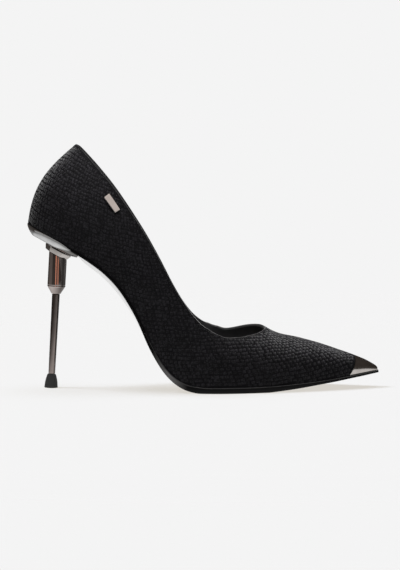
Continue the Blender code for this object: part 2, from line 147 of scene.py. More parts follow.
# Upper, its rounded topline edge, toe cap and sock, in millimetres
UPPER_WALL = 1.8
EDGE_PROUD = 0.03
EDGE_RISE = 0.35
CAP_WALL = 1.0
CAP_EDGE = 0.12
SOCK_THICKNESS = 1.9
SOCK_CROWN = 0.5
SOCK_CROWN_POWER = 4
SOCK_INSET = 2.5
SOCK_EDGE = 0.5

# Side of a surface on which its wall is added
WALL_INSIDE = -1.0
WALL_OUTSIDE = 1.0

# Sole and welt bead, in millimetres and rows: the sole's lip comes out from under the heel dish
# over HEEL_ROWS, and the bead comes out of the joint over WELT_FADE_ROWS
SOLE_LIP = 0.6
SOLE_EDGE = 0.42
SOLE_RIM_SLOT = 1
HEEL_LIP = -0.7
HEEL_ROWS = (4.2, 5.6)
WELT_OUTSET = 0.4
WELT_DOWN = 0.12
WELT_RADIUS = 0.3
WELT_START_ROW = 9.5
WELT_FADE_ROWS = 2.0

# Mesh fineness
ROW_STEPS = 8
RIB_STEPS = 40
RIDGE_STEPS = 5
THROAT_FINE_ROWS = 2
THROAT_FINE_STEPS = 14
EDGE_STEPS = 12
STITCH_SEGMENTS = 8
STITCH_RINGS = 6
CAP_ROW_STEPS = 12
SOLE_ROW_STEPS = 6
SOLE_ACROSS = 28
WELT_STEPS = 8
CUP_ROW_STEPS = 10
CUP_ACROSS = 48
SEAT_ROW_STEPS = 2
ROUND_STEPS = 72
PLATE_STEPS = (18, 8)
BEVEL_STEPS = 3
TURNED_BEVEL_STEPS = 2
FLOOR_STEPS = 96
JOIN_WITHIN = 0.004 * MM
SHARP_ANGLE = math.radians(38)

# Flat leather: the names kept on it, the length of its UV square and the middle of it, and
# how much of a section it is carried over the ridge
FLAT = "flat_leather"
ROOM = "room"
TONE = "tone"
LAY = "lay"
PAST_RIDGE = "past_ridge"
SHEET_SIZE = 0.36
SHEET_MIDDLE = (0.5, 0.5)
RIDGE_OVER = 0.16

# Embossed scales of the leather, in metres on the flat sheet, and how far they keep from its edges
SCALE_LENGTH = 2.3 * MM
SCALE_WIDTH = 2.35 * MM
SCALE_GROOVE = 0.1 * MM
SCALE_JITTER = 0.24 * MM
SCALE_HEIGHT = 0.032 * MM
SCALE_SUNK = 0.04 * MM
SCALE_WARP = 3.6 * MM
SCALE_SIZES = (0.84, 1.08)
SCALE_TURN = math.radians(12)
SCALE_BEND = 0.2
SCALE_SHIFT = -0.36
SCALE_ROWS_TURN = math.radians(22)
SCALE_SEED = 11
SIZE_SEEDS = (1.0, 2.0)
JITTER_SEEDS = (3.0, 4.0)
WARP_FREQUENCY = 70.0
WARP_DETAIL = 2.0
NOISE_MIDDLE = (0.5, 0.5, 0.5)
TOPLINE_MARGIN = 1.45 * MM
FOOT_MARGIN = 1.0 * MM
CAP_MARGIN = 1.5 * MM
SEAM_MARGIN = 1.6 * MM
RIDGE_MARGIN = 0.6 * MM

# One scale: points along a side and its width before it is sized, where its rim starts, how far
# its middle spreads, how much its corners are pulled in and how much its top is crowned
PAD_POINTS = 5
PAD_SPAN = 2.0
PAD_RIM = 0.75
PAD_SPREAD = 0.286
PAD_CORNER = 0.36
PAD_CORNER_POWER = 2.0
PAD_CROWN = 0.5

# Topline stitches, in metres, and the radius of a stitch before it is sized
STITCH_PITCH = 1.5 * MM
STITCH_LENGTH = 1.0 * MM
STITCH_THICKNESS = 0.28 * MM
STITCH_DOWN = 1.05 * MM
STITCH_LIFT = 0.05 * MM
UNIT_RADIUS = 0.5

# Heel, in millimetres: where its axis meets the floor, the nut, and the dish above it
HEEL_FOOT_X = 14.2
NUT_CORNERS = 6
NUT_X = 19.2
NUT_ACROSS_CORNERS = 18.3
NUT_FORWARD = 0.6
NUT_TURN = -6.0
NUT_THICKNESS = 4.2
NUT_CHAMFER = 1.3
NUT_TOP = 0.8
NUT_TAPER = 0.84
NUT_EDGE = 0.2
CUP_DEPTH = 3.2
CUP_EDGE = 0.25
CUP_FULLNESS = 1.5
CUP_ROUNDING = 0.75
CUP_SIDE = 0.4
CUP_OUTSET = 0.15
CUP_RIM = 0.1
CUP_FRONT_RIM = 1.6
CUP_BOTTOM = 5.0
CUP_MIDDLE_X = 17.0
CUP_FRONT_X = 36.0
BARREL_EDGE = 0.1
TIP_EDGE = 0.15

# Turned profiles of the heel, from the top down: radius and height along the axis
BARREL_PROFILE = (
    (5.7, 96.0), (5.7, 66.2), (5.7, 65.5), (5.58, 65.35), (5.58, 65.1), (5.7, 64.95), (5.7, 64.6),
    (5.4, 64.15), (5.2, 63.8), (3.1, 60.3), (2.95, 60.0),
)
ROD_PROFILE = ((2.45, 59.7), (2.445, 59.2), (2.155, 9.6), (2.15, 9.1))
TIP_PROFILE = (
    (2.35, 8.8), (2.7, 8.4), (3.0, 7.6), (3.5, 5.8), (3.9, 3.8), (4.15, 1.4), (4.25, 0.5),
    (4.25, 0.25), (4.1, 0.0),
)

# Side plate: its place on the outer side (row and share of the section) and its size
PLATE_ROW = 5.25
PLATE_SHARE = 0.865
PLATE_LENGTH = 12.5
PLATE_WIDTH = 4.4
PLATE_THICKNESS = 1.3
PLATE_EDGE = 0.3

# Finishes: darkest and lightest colour, roughness, in millimetres how wide the patches are, how
# fine the grain is and how deep it stands, and the shader's constants
Finish = namedtuple("Finish", "dark light roughness patch grain depth constants")
BLACK = (0.0, 0.0, 0.0)
METAL = {"Metallic": 1.0}
FINISHES = {
    "scale_leather": Finish((0.0010, 0.0009, 0.0012), (0.0182, 0.0172, 0.0202), 0.6, 14.0, 0.8, 0.12,
                            {"Specular IOR Level": 0.1, "Sheen Weight": 0.16, "Sheen Roughness": 0.5}),
    "ground_leather": Finish((0.0042, 0.0040, 0.0046), (0.0100, 0.0095, 0.0109), 0.8, 1.2, 0.3, 0.05,
                             {"Specular IOR Level": 0.08}),
    # The cut edge runs to its light colour mostly where a highlight is painted on it
    "cut_edge": Finish((0.010, 0.010, 0.0105), (0.17, 0.168, 0.168), 0.42, 0.8, 0.8, 0.03,
                       {"Specular IOR Level": 0.5}),
    "lining_leather": Finish((0.060, 0.059, 0.061), (0.095, 0.0935, 0.096), 0.5, 9.0, 0.7, 0.05,
                             {"Specular IOR Level": 0.4}),
    "sock_leather": Finish((0.012, 0.012, 0.0125), (0.026, 0.026, 0.027), 0.46, 9.0, 0.7, 0.05,
                           {"Specular IOR Level": 0.4}),
    "sole_gloss": Finish((0.002, 0.002, 0.0022), (0.0045, 0.0045, 0.0048), 0.09, 7.0, 7.0, 0.02,
                         {"IOR": 2.1, "Coat Weight": 1.0, "Coat Roughness": 0.05}),
    # The sole's rim runs to its light colour where a reflection is painted on it at the arch
    "sole_rim": Finish((0.003, 0.003, 0.0032), (0.17, 0.168, 0.167), 0.36, 5.0, 0.6, 0.03,
                       {"Specular IOR Level": 0.14}),
    "welt": Finish((0.03, 0.03, 0.031), (0.065, 0.064, 0.064), 0.4, 4.0, 0.5, 0.02,
                   {"Specular IOR Level": 0.4}),
    "gunmetal": Finish((0.42, 0.392, 0.37), (0.54, 0.505, 0.482), 0.15, 6.0, 0.9, 0.006, METAL),
    # dish_metal, heel_metal and rod_metal run from dark to light partly by painted reflection and
    # painted shade
    "dish_metal": Finish((0.12, 0.115, 0.11), (0.80, 0.805, 0.805), 0.12, 4.0, 0.9, 0.006, METAL),
    "heel_metal": Finish(BLACK, (0.5, 0.44, 0.415), 0.06, 6.0, 0.9, 0.006, METAL),
    "rod_metal": Finish(BLACK, (0.32, 0.272, 0.25), 0.06, 6.0, 0.9, 0.006, METAL),
    "rubber": Finish((0.036, 0.036, 0.036), (0.066, 0.066, 0.066), 0.7, 1.5, 0.3, 0.04,
                     {"Specular IOR Level": 0.35}),
    "thread": Finish((0.005, 0.005, 0.0055), (0.014, 0.0135, 0.0145), 0.55, 0.4, 0.2, 0.03,
                     {"Sheen Weight": 0.2}),
}

# Numbers of the sockets for plain values of a random node and for colours of a mix node, which
# have several sockets of one name
RANDOM_LOW = 2
RANDOM_HIGH = 3
RANDOM_RESULT = 1
MIX_FIRST = 6
MIX_SECOND = 7
MIX_RESULT = 2

# Noise and bumps: the part of the noise that is spread over a range, its detail, and the strength
# of shallow bumps and of the leather's grain
NOISE_SPAN = (0.3, 0.7)
NOISE_DETAIL = 3.0
LEATHER_DETAIL = 4.0
METAL_DETAIL = 5.0
SHALLOW_BUMP = 0.3
LEATHER_BUMP = 0.6

# How the roughness of a finish varies, and in millimetres the size of the worn spots that vary it
SCALE_ROUGHNESS = (0.5, 0.66)
LEATHER_ROUGHER = (-0.06, 0.08)
SOLE_ROUGHNESS = (0.07, 0.13)
SOLE_WORN_SIZE = 2.0
METAL_ROUGHER = 1 / 3
METAL_WORN_SIZE = 1.6
RUBBER_ROUGHNESS = (0.6, 0.8)

# How colours vary: shares of a scale's own tone, patches and nap, and their contrast; where along
# and across the shoe, in metres, a highlight is painted on its topline edge, and how strong; the
# same for a reflection painted on the sole's rim at the arch; and the cloudiness of metal
SCALE_BLEND = (0.1, 0.15, 0.75)
SCALE_CONTRAST = (0.42, 0.60)
EDGE_HIGHLIGHT_ALONG = (-0.036, -0.014)
EDGE_HIGHLIGHT_STRENGTH = 0.85
EDGE_HIGHLIGHT_SIDES = (-0.004, 0.006)
EDGE_HIGHLIGHT_ON_INNER = 0.06
EDGE_PATCHES = 0.15
ARCH_REFLECTION_MIDDLE = -0.036
ARCH_REFLECTION_REACH = (0.001, 0.011)
ARCH_PATCHES = 0.02
HEEL_CLOUD = (0.8, 1.0)
DISH_CLOUD = (-0.1, 0.1)

# Painted shade on the heel's metal, in millimetres along the heel's own axes: where it starts and
# ends ahead of the rod and barrel's middle, the painted lit share at the dish's rim, the slanted
# line where shade is painted on the dish's front, and the share of light left in each painted shade
AHEAD_AXIS = 0
UP_AXIS = 2
ROD_FRONT = (0.7, 2.0)
ROD_FRONT_LEFT = 0.2
ROD_BACK = (-2.15, -1.2)
ROD_BACK_LEFT = 0.35
BARREL_FRONT = (1.2, 3.8)
BARREL_FRONT_LEFT = 0.36
CONE_FRONT = (-2.5, 3.0)
CONE_FRONT_LEFT = 0.3
CONE_TOP = (63.9, 64.3)
DISH_RIM_PAINTED_LIGHT = 0.5
DISH_SHADE_X = 17.0
DISH_SHADE_Z = 91.2
DISH_SHADE_SLOPE = 0.22
DISH_SHADE_BLUR = 0.8
DISH_SHADE_LEFT = 0.12

# Camera, in millimetres: the middle of its picture and the picture's width in pixels, how far off
# and how high it stands, and from these its place and aim in metres
PICTURE_MIDDLE_X = 108.9
PICTURE_MIDDLE_Z = 65.3
PICTURE_WIDTH = 400
PIXEL_SIZE = 0.634
EYE_AWAY = 1845.0
EYE_HEIGHT = 203.0
SENSOR_WIDTH = 36.0
EYE = ((PICTURE_MIDDLE_X - TREAD_CENTRE_X) * MM, -EYE_AWAY * MM, EYE_HEIGHT * MM)
AIM = ((PICTURE_MIDDLE_X - TREAD_CENTRE_X) * MM, 0.0, PICTURE_MIDDLE_Z * MM)

# Floor, in metres: its size and where it starts to fade, its glow and matt colour as the shoe sees
# it and as the camera does, and how much of the glow the shoe mirrors and takes as light
PALE = (0.905, 0.905, 0.905)
FLOOR_RADIUS = 0.8
FLOOR_CLEAR = 0.4
FLOOR_GLOW = 0.796
FLOOR_MATT = (0.07, 0.07, 0.07)
FLOOR_SHOWN_GLOW = (0.652, 0.623, 0.575)
FLOOR_SHOWN_MATT = (0.088, 0.098, 0.115)
FLOOR_SHOE = (-0.01, 0.105)
FLOOR_MIRRORED = (0.03, 0.3)
FLOOR_MIRRORED_FAR = 0.1
FLOOR_FILL = 0.3

# The dim room that the shoe mirrors, and the height of a direction where low turns to high
ROOM_LOW = (0.10, 0.09, 0.085)
ROOM_HIGH = (0.055, 0.047, 0.042)
ROOM_TURNS = (-0.25, 0.35)

# Wide lights that nothing mirrors: direction, strength, width, and whether for the floor
SKY_LIGHTS = (
    ("wide_light_above", (0.2, 0.7, 1.0), 8.4, math.radians(56), False),
    ("wide_light_in_front", (-0.25, -1.0, 1.2), 1.2, math.radians(60), False),
    ("floor_light", (0.05, 0.2, 1.0), 2.6, math.radians(30), True),
    ("slanted_floor_light", (-0.7, 0.12, 1.0), 7.8, math.radians(24), True),
)

# Lamps for single pieces, in metres: size, glow and colour. Those of the barrel stand round it,
# turned so many degrees from the camera's side towards the toe
Lamp = namedtuple("Lamp", "name size glow colour")
COPPER = (1.0, 0.42, 0.27)
GREY = (1.0, 0.93, 0.9)
WHITE = (1.0, 1.0, 1.0)
BARREL_MIDDLE = (-0.1085, 0.0, 0.078)
LAMP_AWAY = 0.5
LAMP_HEIGHT = 0.1
BARREL_LAMPS = (
    (-8.0, Lamp("copper_strip", (0.1, 0.5), 1.0, COPPER)),
    (19.0, Lamp("copper_band", (0.14, 0.5), 0.6, COPPER)),
    (-85.0, Lamp("grey_panel", (0.5, 0.5), 0.1, GREY)),
)
PLATE_LAMP = Lamp("plate_box", (0.3, 0.3), 0.9, GREY)
SOLE_LAMP = Lamp("sole_box", (0.3, 0.6), 0.58, WHITE)
SOLE_LAMP_PLACE = (-0.12, 0.33, 0.003)
EDGE_LAMP = Lamp("edge_light", (0.3, 0.1), 18.0, WHITE)
EDGE_LAMP_PLACE = (0.0, -0.6, 0.07)
COUNTER_LAMP = Lamp("counter_light", (0.08, 0.08), 7.9, WHITE)
COUNTER_LAMP_PLACE = (-0.07, -0.09, 0.24)
DISH_LAMP = Lamp("dish_panel", (1.6, 0.3), 0.34, WHITE)
DISH_LAMP_PLACE = (-0.42, -0.42, 0.06)


# Last, the form that upper, cap and sole follow

def blend_four(before, start, end, after, part):
    """Value between start and end on a smooth curve through four values."""
    slope = end - before
    bend = 2 * before - 5 * start + 4 * end - after
    twist = 3 * (start - end) + after - before
    return 0.5 * (2 * start + slope * part + bend * part ** 2 + twist * part ** 3)


def eased(share):
    """Share from 0 to 1 that starts and ends gently."""
    return share ** 2 * (3 - 2 * share)


def smooth_row(rows, before, after, place):
    """Row at a place between two rows, on smooth curves through all of them."""
    padded = [before, *rows, after]
    index = min(int(place), len(rows) - 2)
    columns = zip(*padded[index:index + 4])
    return type(rows[0])(*(blend_four(*column, place - index) for column in columns))


def turned_back(row):
    """The row past an end, where the outline turns round and comes back on the other side."""
    return row._replace(outer=-row.inner, inner=-row.outer)


def carried_on(row, end):
    """The row past an end of the ridge, carried straight on."""
    return type(end)(*(2 * at_end - before for before, at_end in zip(row, end)))


@lru_cache(maxsize=None)
def feather_at(place):
    return smooth_row(FEATHER, turned_back(FEATHER[1]), turned_back(FEATHER[-2]), place)


@lru_cache(maxsize=None)
def top_at(place):
    return smooth_row(TOPS, turned_back(TOPS[1]), carried_on(TOPS[-2], TOPS[-1]), place)


def in_frame(x, y, z):
    """Point of the tables, in metres in the shoe's frame."""
    return Vector(((x - TREAD_CENTRE_X) * MM, y * MM, z * MM))


def foot_point(place, side):
    if place < 0:
        place, side = -place, -side
    if place > LAST_ROW:
        place, side = 2 * LAST_ROW - place, -side
    row = feather_at(place)
    return in_frame(row.x, -row.outer if side == OUTER else row.inner, row.z)


def top_point(place, side):
    row = top_at(place)
    if side == OUTER:
        return in_frame(row.x, -row.outer, row.z)
    return in_frame(row.x, row.inner, row.z - row.drop)


def outward(place, side):
    """Level direction square to the feather line, out of the shoe."""
    run = foot_point(place + ROW_NUDGE, side) - foot_point(place - ROW_NUDGE, side)
    return Vector((-side * run.y, side * run.x, 0)).normalized()


def section_up(place):
    """Direction square to the sole in the shoe's side view."""
    middle = min(max(place, 1.0), LAST_ROW - 1.0)
    run = foot_point(middle + PITCH_SPAN, OUTER) - foot_point(middle - PITCH_SPAN, OUTER)
    return Vector((-run.z, 0, run.x)).normalized()


def ridge_direction(place):
    """Direction of the vamp's ridge, fading to level behind the throat."""
    middle = min(max(place, THROAT_ROW + ROW_NUDGE), LAST_ROW - ROW_NUDGE)
    run = top_point(middle + ROW_NUDGE, INNER) - top_point(middle - ROW_NUDGE, INNER)
    slope = run.z / run.x
    near = max(1.0 - max(THROAT_ROW - place, 0.0) / THROAT_BLEND_ROWS, 0.0)
    return Vector((1, 0, slope * eased(near))).normalized()


@lru_cache(maxsize=None)
def section_handles(place, side):
    """The four points that shape a section of the last, from its foot to its top."""
    foot = foot_point(place, side)
    top = top_point(place, side)
    row = top_at(place)
    out = outward(place, side)
    chord = top - foot
    length = chord.length
    chord.normalize()
    inward = -(ridge_direction(place) * out.x + Vector((0, out.y, 0)))
    rise = (chord + out * row.flare).normalized()
    arrive = (chord * (1 - row.lean) + inward * row.lean).normalized()
    return foot, foot + rise * length * HANDLE_AT_FOOT, top - arrive * length * HANDLE_AT_TOP, top


def last_point(place, side, share):
    """Point of the last's surface on a section, from its foot (0) to its top (1)."""
    foot, low, high, top = section_handles(place, side)
    rest = 1 - share
    return (foot * rest ** 3 + low * 3 * share * rest ** 2
            + high * 3 * share ** 2 * rest + top * share ** 3)


def last_normal(place, side, share):
    """Direction out of the last's surface."""
    along = last_point(place + ROW_NUDGE, side, share) - last_point(place - ROW_NUDGE, side, share)
    up = last_point(place, side, share + ROW_NUDGE) - last_point(place, side, share - ROW_NUDGE)
    return (along.cross(up) * -side).normalized()


def is_past_throat(point, side):
    """Whether a point of the last lies inside the throat, seen from above."""
    edge = TOPS[THROAT_SIDE_ROW]
    width = edge.outer if side == OUTER else edge.inner
    along = max(point.x / MM + TREAD_CENTRE_X - THROAT_CENTRE_X, 0.0)
    across = abs(point.y / MM / width)
    return (along / THROAT_REACH) ** 2 + across ** THROAT_FULLNESS[side] < 1.0


@lru_cache(maxsize=None)
def topline_share(place, side):
    """Share of a section that is left when the throat is cut out."""
    if not THROAT_SIDE_ROW < place < THROAT_ROW:
        return 1.0
    low, high = 0.0, 1.0
    for _ in range(CUT_TRIALS):
        middle = (low + high) / 2
        if is_past_throat(last_point(place, side, middle), side):
            high = middle
        else:
            low = middle
    return low


def places_between(start, end, steps_per_row):
    count = max(1, math.ceil((end - start) * steps_per_row))
    return [start + (end - start) * i / count for i in range(count + 1)]


def section_rib(place, side, steps):
    whole = topline_share(place, side)
    return [last_point(place, side, whole * step / steps) for step in range(steps + 1)]


# Meshes and objects

shoe_pieces = []


def add_piece(name, mesh, *materials):
    piece = bpy.data.objects.new(name, mesh)
    for material in materials:
        mesh.materials.append(material)
    bpy.context.scene.collection.objects.link(piece)
    return piece


def mesh_from(shape, name):
    mesh = bpy.data.meshes.new(name)
    shape.to_mesh(mesh)
    shape.free()
    return mesh


def smooth_shading(mesh):
    mesh.shade_smooth()
    mesh.set_sharp_from_angle(angle=SHARP_ANGLE)


def apply_modifiers(piece):
    """Turn what the piece's modifiers make into its own plain mesh."""
    graph = bpy.context.evaluated_depsgraph_get()
    plain = bpy.data.meshes.new_from_object(piece.evaluated_get(graph))
    plain.name = piece.name
    piece.modifiers.clear()
    piece.data = plain


def round_edges(piece, width, steps=BEVEL_STEPS, material=-1):
    edge = piece.modifiers.new("edge", "BEVEL")
    edge.material = material
    edge.width = width * MM
    edge.segments = steps
    edge.limit_method = "ANGLE"
    edge.angle_limit = SHARP_ANGLE


def add_wall(piece, thickness, offset):
    wall = piece.modifiers.new("wall", "SOLIDIFY")
    wall.thickness = thickness * MM
    wall.offset = offset
    wall.use_even_offset = True
    wall.use_quality_normals = True
    return wall


def place_piece(piece, slot, *nodes):
    """Fix the piece to the shoe, hide the solids it stands for, and add it to the shoe's pieces."""
    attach(piece, BODY)
    if nodes:
        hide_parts(*nodes)
    shoe_pieces.append(piece)


def finish_piece(piece, slot, *nodes):
    """Make the piece a plain smooth mesh and fix it to the shoe."""
    apply_modifiers(piece)
    smooth_shading(piece.data)
    place_piece(piece, slot, *nodes)


def add_ribs(shape, ribs):
    """Open surface through ribs of points, each from its foot to its top."""
    grid = [[shape.verts.new(point) for point in rib] for rib in ribs]
    for rib, after in zip(grid, grid[1:]):
        for low in range(len(rib) - 1):
            shape.faces.new((rib[low], rib[low + 1], after[low + 1], after[low]))
    return grid


def sheet_shape(ribs):
    shape = bmesh.new()
    add_ribs(shape, ribs)
    weld(shape)
    return shape


def ring_round(middle, out, up, steps):
    """Closed ring about a point, from two directions with the ring's reach along them."""
    turns = [2 * math.pi * step / steps for step in range(steps)]
    ring = [middle + out * math.cos(turn) + up * math.sin(turn) for turn in turns]
    return ring + ring[:1]


def weld(shape):
    bmesh.ops.remove_doubles(shape, verts=shape.verts, dist=JOIN_WITHIN)
    bmesh.ops.dissolve_degenerate(shape, edges=shape.edges, dist=JOIN_WITHIN)


# Flat leather

def upper_places():
    row_gap = GAP / (FEATHER[CAP_ROW].x - FEATHER[CAP_ROW - 1].x)
    behind = places_between(0, THROAT_ROW, ROW_STEPS)
    return behind + places_between(THROAT_ROW, CAP_ROW - row_gap, ROW_STEPS)[1:]


def topline_loop():
    """Places and sides round the topline, from the throat's front by the outer side and back."""
    shares = [step / THROAT_FINE_STEPS for step in range(THROAT_FINE_STEPS)]
    fine = [THROAT_ROW - THROAT_FINE_ROWS * share ** 2 for share in shares]
    behind = places_between(0, THROAT_ROW - THROAT_FINE_ROWS, ROW_STEPS)
    places = fine + list(reversed(behind))
    loop = [(place, OUTER) for place in places]
    loop += [(place, INNER) for place in reversed(places[1:-1])]
    return loop


def topline_points():
    return [last_point(place, side, topline_share(place, side)) for place, side in topline_loop()]


def tree_of(points):
    tree = KDTree(len(points))
    for index, point in enumerate(points):
        tree.insert(point, index)
    tree.balance()
    return tree


def distance_to(tree, point):
    """How far a point is from the nearest of a tree's points."""
    _, _, distance = tree.find(point)
    return distance


def ridge_strip(place, side):
    """Points down the far side of the ridge, as far as the flat leather is carried over it."""
    shares = [1.0 - RIDGE_OVER * step / RIDGE_STEPS for step in range(RIDGE_STEPS + 1)]
    return [last_point(place, side, share) for share in shares]


def leather_half(side):
    """One side of the upper, carried a little over the ridge, with the flat leather as its UV map."""
    places = upper_places()
    if side == OUTER:
        places.reverse()
    shape = bmesh.new()
    past_ridge = shape.verts.layers.float.new(PAST_RIDGE)
    add_ribs(shape, [section_rib(place, side, RIB_STEPS) for place in places])
    strip = add_ribs(shape, [ridge_strip(place, -side) for place in places if place >= THROAT_ROW])
    for rib in strip:
        for vertex in rib[1:]:
            vertex[past_ridge] = 1.0
    weld(shape)
    half = add_piece("leather_half", mesh_from(shape, "leather_half"))
    half.data.shade_smooth()
    store_room(half.data, side)
    flatten(half, side)
    return half


def store_room(mesh, side):
    """Keep at each point how far the embossing is from where it has to stop."""
    places = upper_places()
    feet = [foot_point(place, side) for place in places]
    limits = (
        (tree_of(topline_points()), TOPLINE_MARGIN),
        (tree_of(feet), FOOT_MARGIN),
        (tree_of(section_rib(places[-1], side, RIB_STEPS)), CAP_MARGIN),
        (tree_of(section_rib(0, side, RIB_STEPS)), SEAM_MARGIN),
    )
    ridge = tree_of([last_point(place, side, 1.0) for place in places if place >= THROAT_ROW])
    past_ridge = mesh.attributes[PAST_RIDGE].data
    rooms = []
    for vertex in mesh.vertices:
        room = min(distance_to(tree, vertex.co) - margin for tree, margin in limits)
        away = distance_to(ridge, vertex.co)
        if past_ridge[vertex.index].value > 0:
            away = -away
        rooms.append(min(room, away - RIDGE_MARGIN))
    attribute = mesh.attributes.new(ROOM, "FLOAT", "POINT")
    attribute.data.foreach_set("value", rooms)


def unwrap(half):
    """Give one side of the upper a UV map that lays it flat."""
    half.data.uv_layers.new(name=FLAT)
    bpy.context.view_layer.objects.active = half
    half.select_set(True)
    bpy.ops.object.mode_set(mode="EDIT")
    bpy.ops.mesh.select_all(action="SELECT")
    bpy.ops.uv.unwrap(method="ANGLE_BASED", fill_holes=False, correct_aspect=False)
    bpy.ops.object.mode_set(mode="OBJECT")
    half.select_set(False)


def flat_area(mesh, spots):
    """Area of a mesh on its UV map, from the map's spots."""
    area = 0.0
    for face in mesh.polygons:
        ring = spots[face.loop_start:face.loop_start + face.loop_total]
        after = numpy.roll(ring, -1, axis=0)
        area += abs(numpy.sum(ring[:, 0] * after[:, 1] - ring[:, 1] * after[:, 0])) / 2
    return area


def flatten(half, side):
    """Lay one side flat, in lengths of SHEET_SIZE, with its foot from heel to toe along +U."""
    unwrap(half)
    mesh = half.data
    flat = mesh.uv_layers[FLAT]
    count = len(mesh.loops)
    spots = numpy.zeros(count * 2)
    flat.uv.foreach_get("vector", spots)
    spots = spots.reshape(-1, 2)
    owners = numpy.zeros(count, dtype=int)
    mesh.loops.foreach_get("vertex_index", owners)
    size = math.sqrt(sum(face.area for face in mesh.polygons) / flat_area(mesh, spots))
    finder = tree_of([vertex.co for vertex in mesh.vertices])
    _, heel, _ = finder.find(foot_point(0, side))
    _, toe, _ = finder.find(foot_point(upper_places()[-1], side))
    run = spots[owners == toe][0] - spots[owners == heel][0]
    run = run / numpy.linalg.norm(run)
    turn = numpy.array(((run[0], run[1]), (-run[1], run[0])))
    spots = spots @ turn.T * size / SHEET_SIZE
    middle = (spots.min(axis=0) + spots.max(axis=0)) / 2
    spots = spots - middle + SHEET_MIDDLE
    flat.uv.foreach_set("vector", spots.ravel())


# Nodes

def connect(tree, source, socket):
    """Link a socket to its source, or set it to a plain value."""
    if isinstance(source, bpy.types.NodeSocket):
        tree.links.new(source, socket)
    else:
        socket.default_value = source


def tree_node(tree, kind, **values):
    """New node: its settings by their own names, then its inputs by names that start with a capital."""
    node = tree.nodes.new(kind)
    for name, value in values.items():
        if name[0].isupper():
            connect(tree, value, node.inputs[name.replace("_", " ")])
        else:
            setattr(node, name, value)
    return node


def made(tree, kind, **values):
    """First output of a new node."""
    return tree_node(tree, kind, **values).outputs[0]


def calculate(tree, operation, *sources, kind="ShaderNodeMath", result="Value"):
    node = tree_node(tree, kind, operation=operation)
    for socket, source in zip(node.inputs, sources):
        connect(tree, source, socket)
    return node.outputs[result]


def combine(tree, operation, *vectors, result="Vector"):
    return calculate(tree, operation, *vectors, kind="ShaderNodeVectorMath", result=result)


def plus(tree, first, second):
    return calculate(tree, "ADD", first, second)


def minus(tree, first, second):
    return calculate(tree, "SUBTRACT", first, second)


def times(tree, first, second):
    return calculate(tree, "MULTIPLY", first, second)


def over(tree, first, second):
    return calculate(tree, "DIVIDE", first, second)


def scaled(tree, vector, factor):
    return made(tree, "ShaderNodeVectorMath", operation="SCALE", Vector=vector, Scale=factor)


def vector_of(tree, x=0.0, y=0.0, z=0.0):
    return made(tree, "ShaderNodeCombineXYZ", X=x, Y=y, Z=z)


def parts_of(tree, vector):
    return tree_node(tree, "ShaderNodeSeparateXYZ", Vector=vector).outputs


def random_between(tree, low, high, seed):
    node = tree_node(tree, "FunctionNodeRandomValue", data_type="FLOAT", Seed=seed)
    node.inputs[RANDOM_LOW].default_value = low
    node.inputs[RANDOM_HIGH].default_value = high
    return node.outputs[RANDOM_RESULT]


def kept_value(tree, kind, name):
    """Value that the mesh keeps under a name."""
    node = tree_node(tree, "GeometryNodeInputNamedAttribute", data_type=kind, Name=name)
    return node.outputs["Attribute"]


def new_tree(name, inputs):
    """Geometry tree with a geometry input, the named inputs given, and a geometry output."""
    tree = bpy.data.node_groups.new(name, "GeometryNodeTree")
    tree.interface.new_socket("Geometry", in_out="OUTPUT", socket_type="NodeSocketGeometry")
    tree.interface.new_socket("Geometry", in_out="INPUT", socket_type="NodeSocketGeometry")
    for label, kind in inputs:
        tree.interface.new_socket(label, in_out="INPUT", socket_type="NodeSocket" + kind)
    source = tree_node(tree, "NodeGroupInput")
    result = tree_node(tree, "NodeGroupOutput")
    return tree, source.outputs, result.inputs[0]


def run_tree(piece, tree, **values):
    """Make the piece's mesh with a geometry tree, its inputs set by their plain names."""
    maker = piece.modifiers.new(tree.name, "NODES")
    maker.node_group = tree
    for item in tree.interface.items_tree:
        name = item.name.replace(" ", "_").lower()
        if item.in_out == "INPUT" and name in values:
            maker[item.identifier] = values[name]
    apply_modifiers(piece)


# Embossed scales

def sampled_from_sheet(tree, sheet, kind, value, spot):
    """Value of the leather sheet at a spot of its flat pattern, and whether the spot is on it."""
    node = tree_node(tree, "GeometryNodeSampleUVSurface", data_type=kind, Mesh=sheet, Value=value,
                     UV_Map=kept_value(tree, "FLOAT_VECTOR", FLAT), Sample_UV=spot)
    return node.outputs["Value"], node.outputs["Is Valid"]


def scale_pad(tree, given):
    """One low scale, a pillow with its rim under the leather's surface."""
    grid = made(tree, "GeometryNodeMeshGrid", Vertices_X=PAD_POINTS, Vertices_Y=PAD_POINTS,
                Size_X=PAD_SPAN, Size_Y=PAD_SPAN)
    spot = parts_of(tree, made(tree, "GeometryNodeInputPosition"))
    lengths = [calculate(tree, "ABSOLUTE", spot[axis]) for axis in ("X", "Y")]
    corner = calculate(tree, "POWER", times(tree, *lengths), PAD_CORNER_POWER)
    pull = minus(tree, 1.0, times(tree, corner, PAD_CORNER))
    sides = []
    for axis, length in zip(("X", "Y"), lengths):
        spread = calculate(tree, "POWER", length, PAD_SPREAD)
        sides.append(times(tree, times(tree, calculate(tree, "SIGN", spot[axis]), spread), pull))
    far = calculate(tree, "MAXIMUM", *lengths)
    top = times(tree, given["Height"], minus(tree, 1.0, times(tree, far, PAD_CROWN)))
    is_rim = calculate(tree, "GREATER_THAN", far, PAD_RIM)
    fall = times(tree, is_rim, plus(tree, top, given["Sunk"]))
    place = vector_of(tree, *sides, minus(tree, top, fall))
    shaped = made(tree, "GeometryNodeSetPosition", Geometry=grid, Position=place)
    halves = []
    for size in ("Scale length", "Scale width"):
        halves.append(over(tree, minus(tree, given[size], given["Groove"]), PAD_SPAN))
    return made(tree, "GeometryNodeTransform", Geometry=shaped, Scale=vector_of(tree, *halves, 1.0))


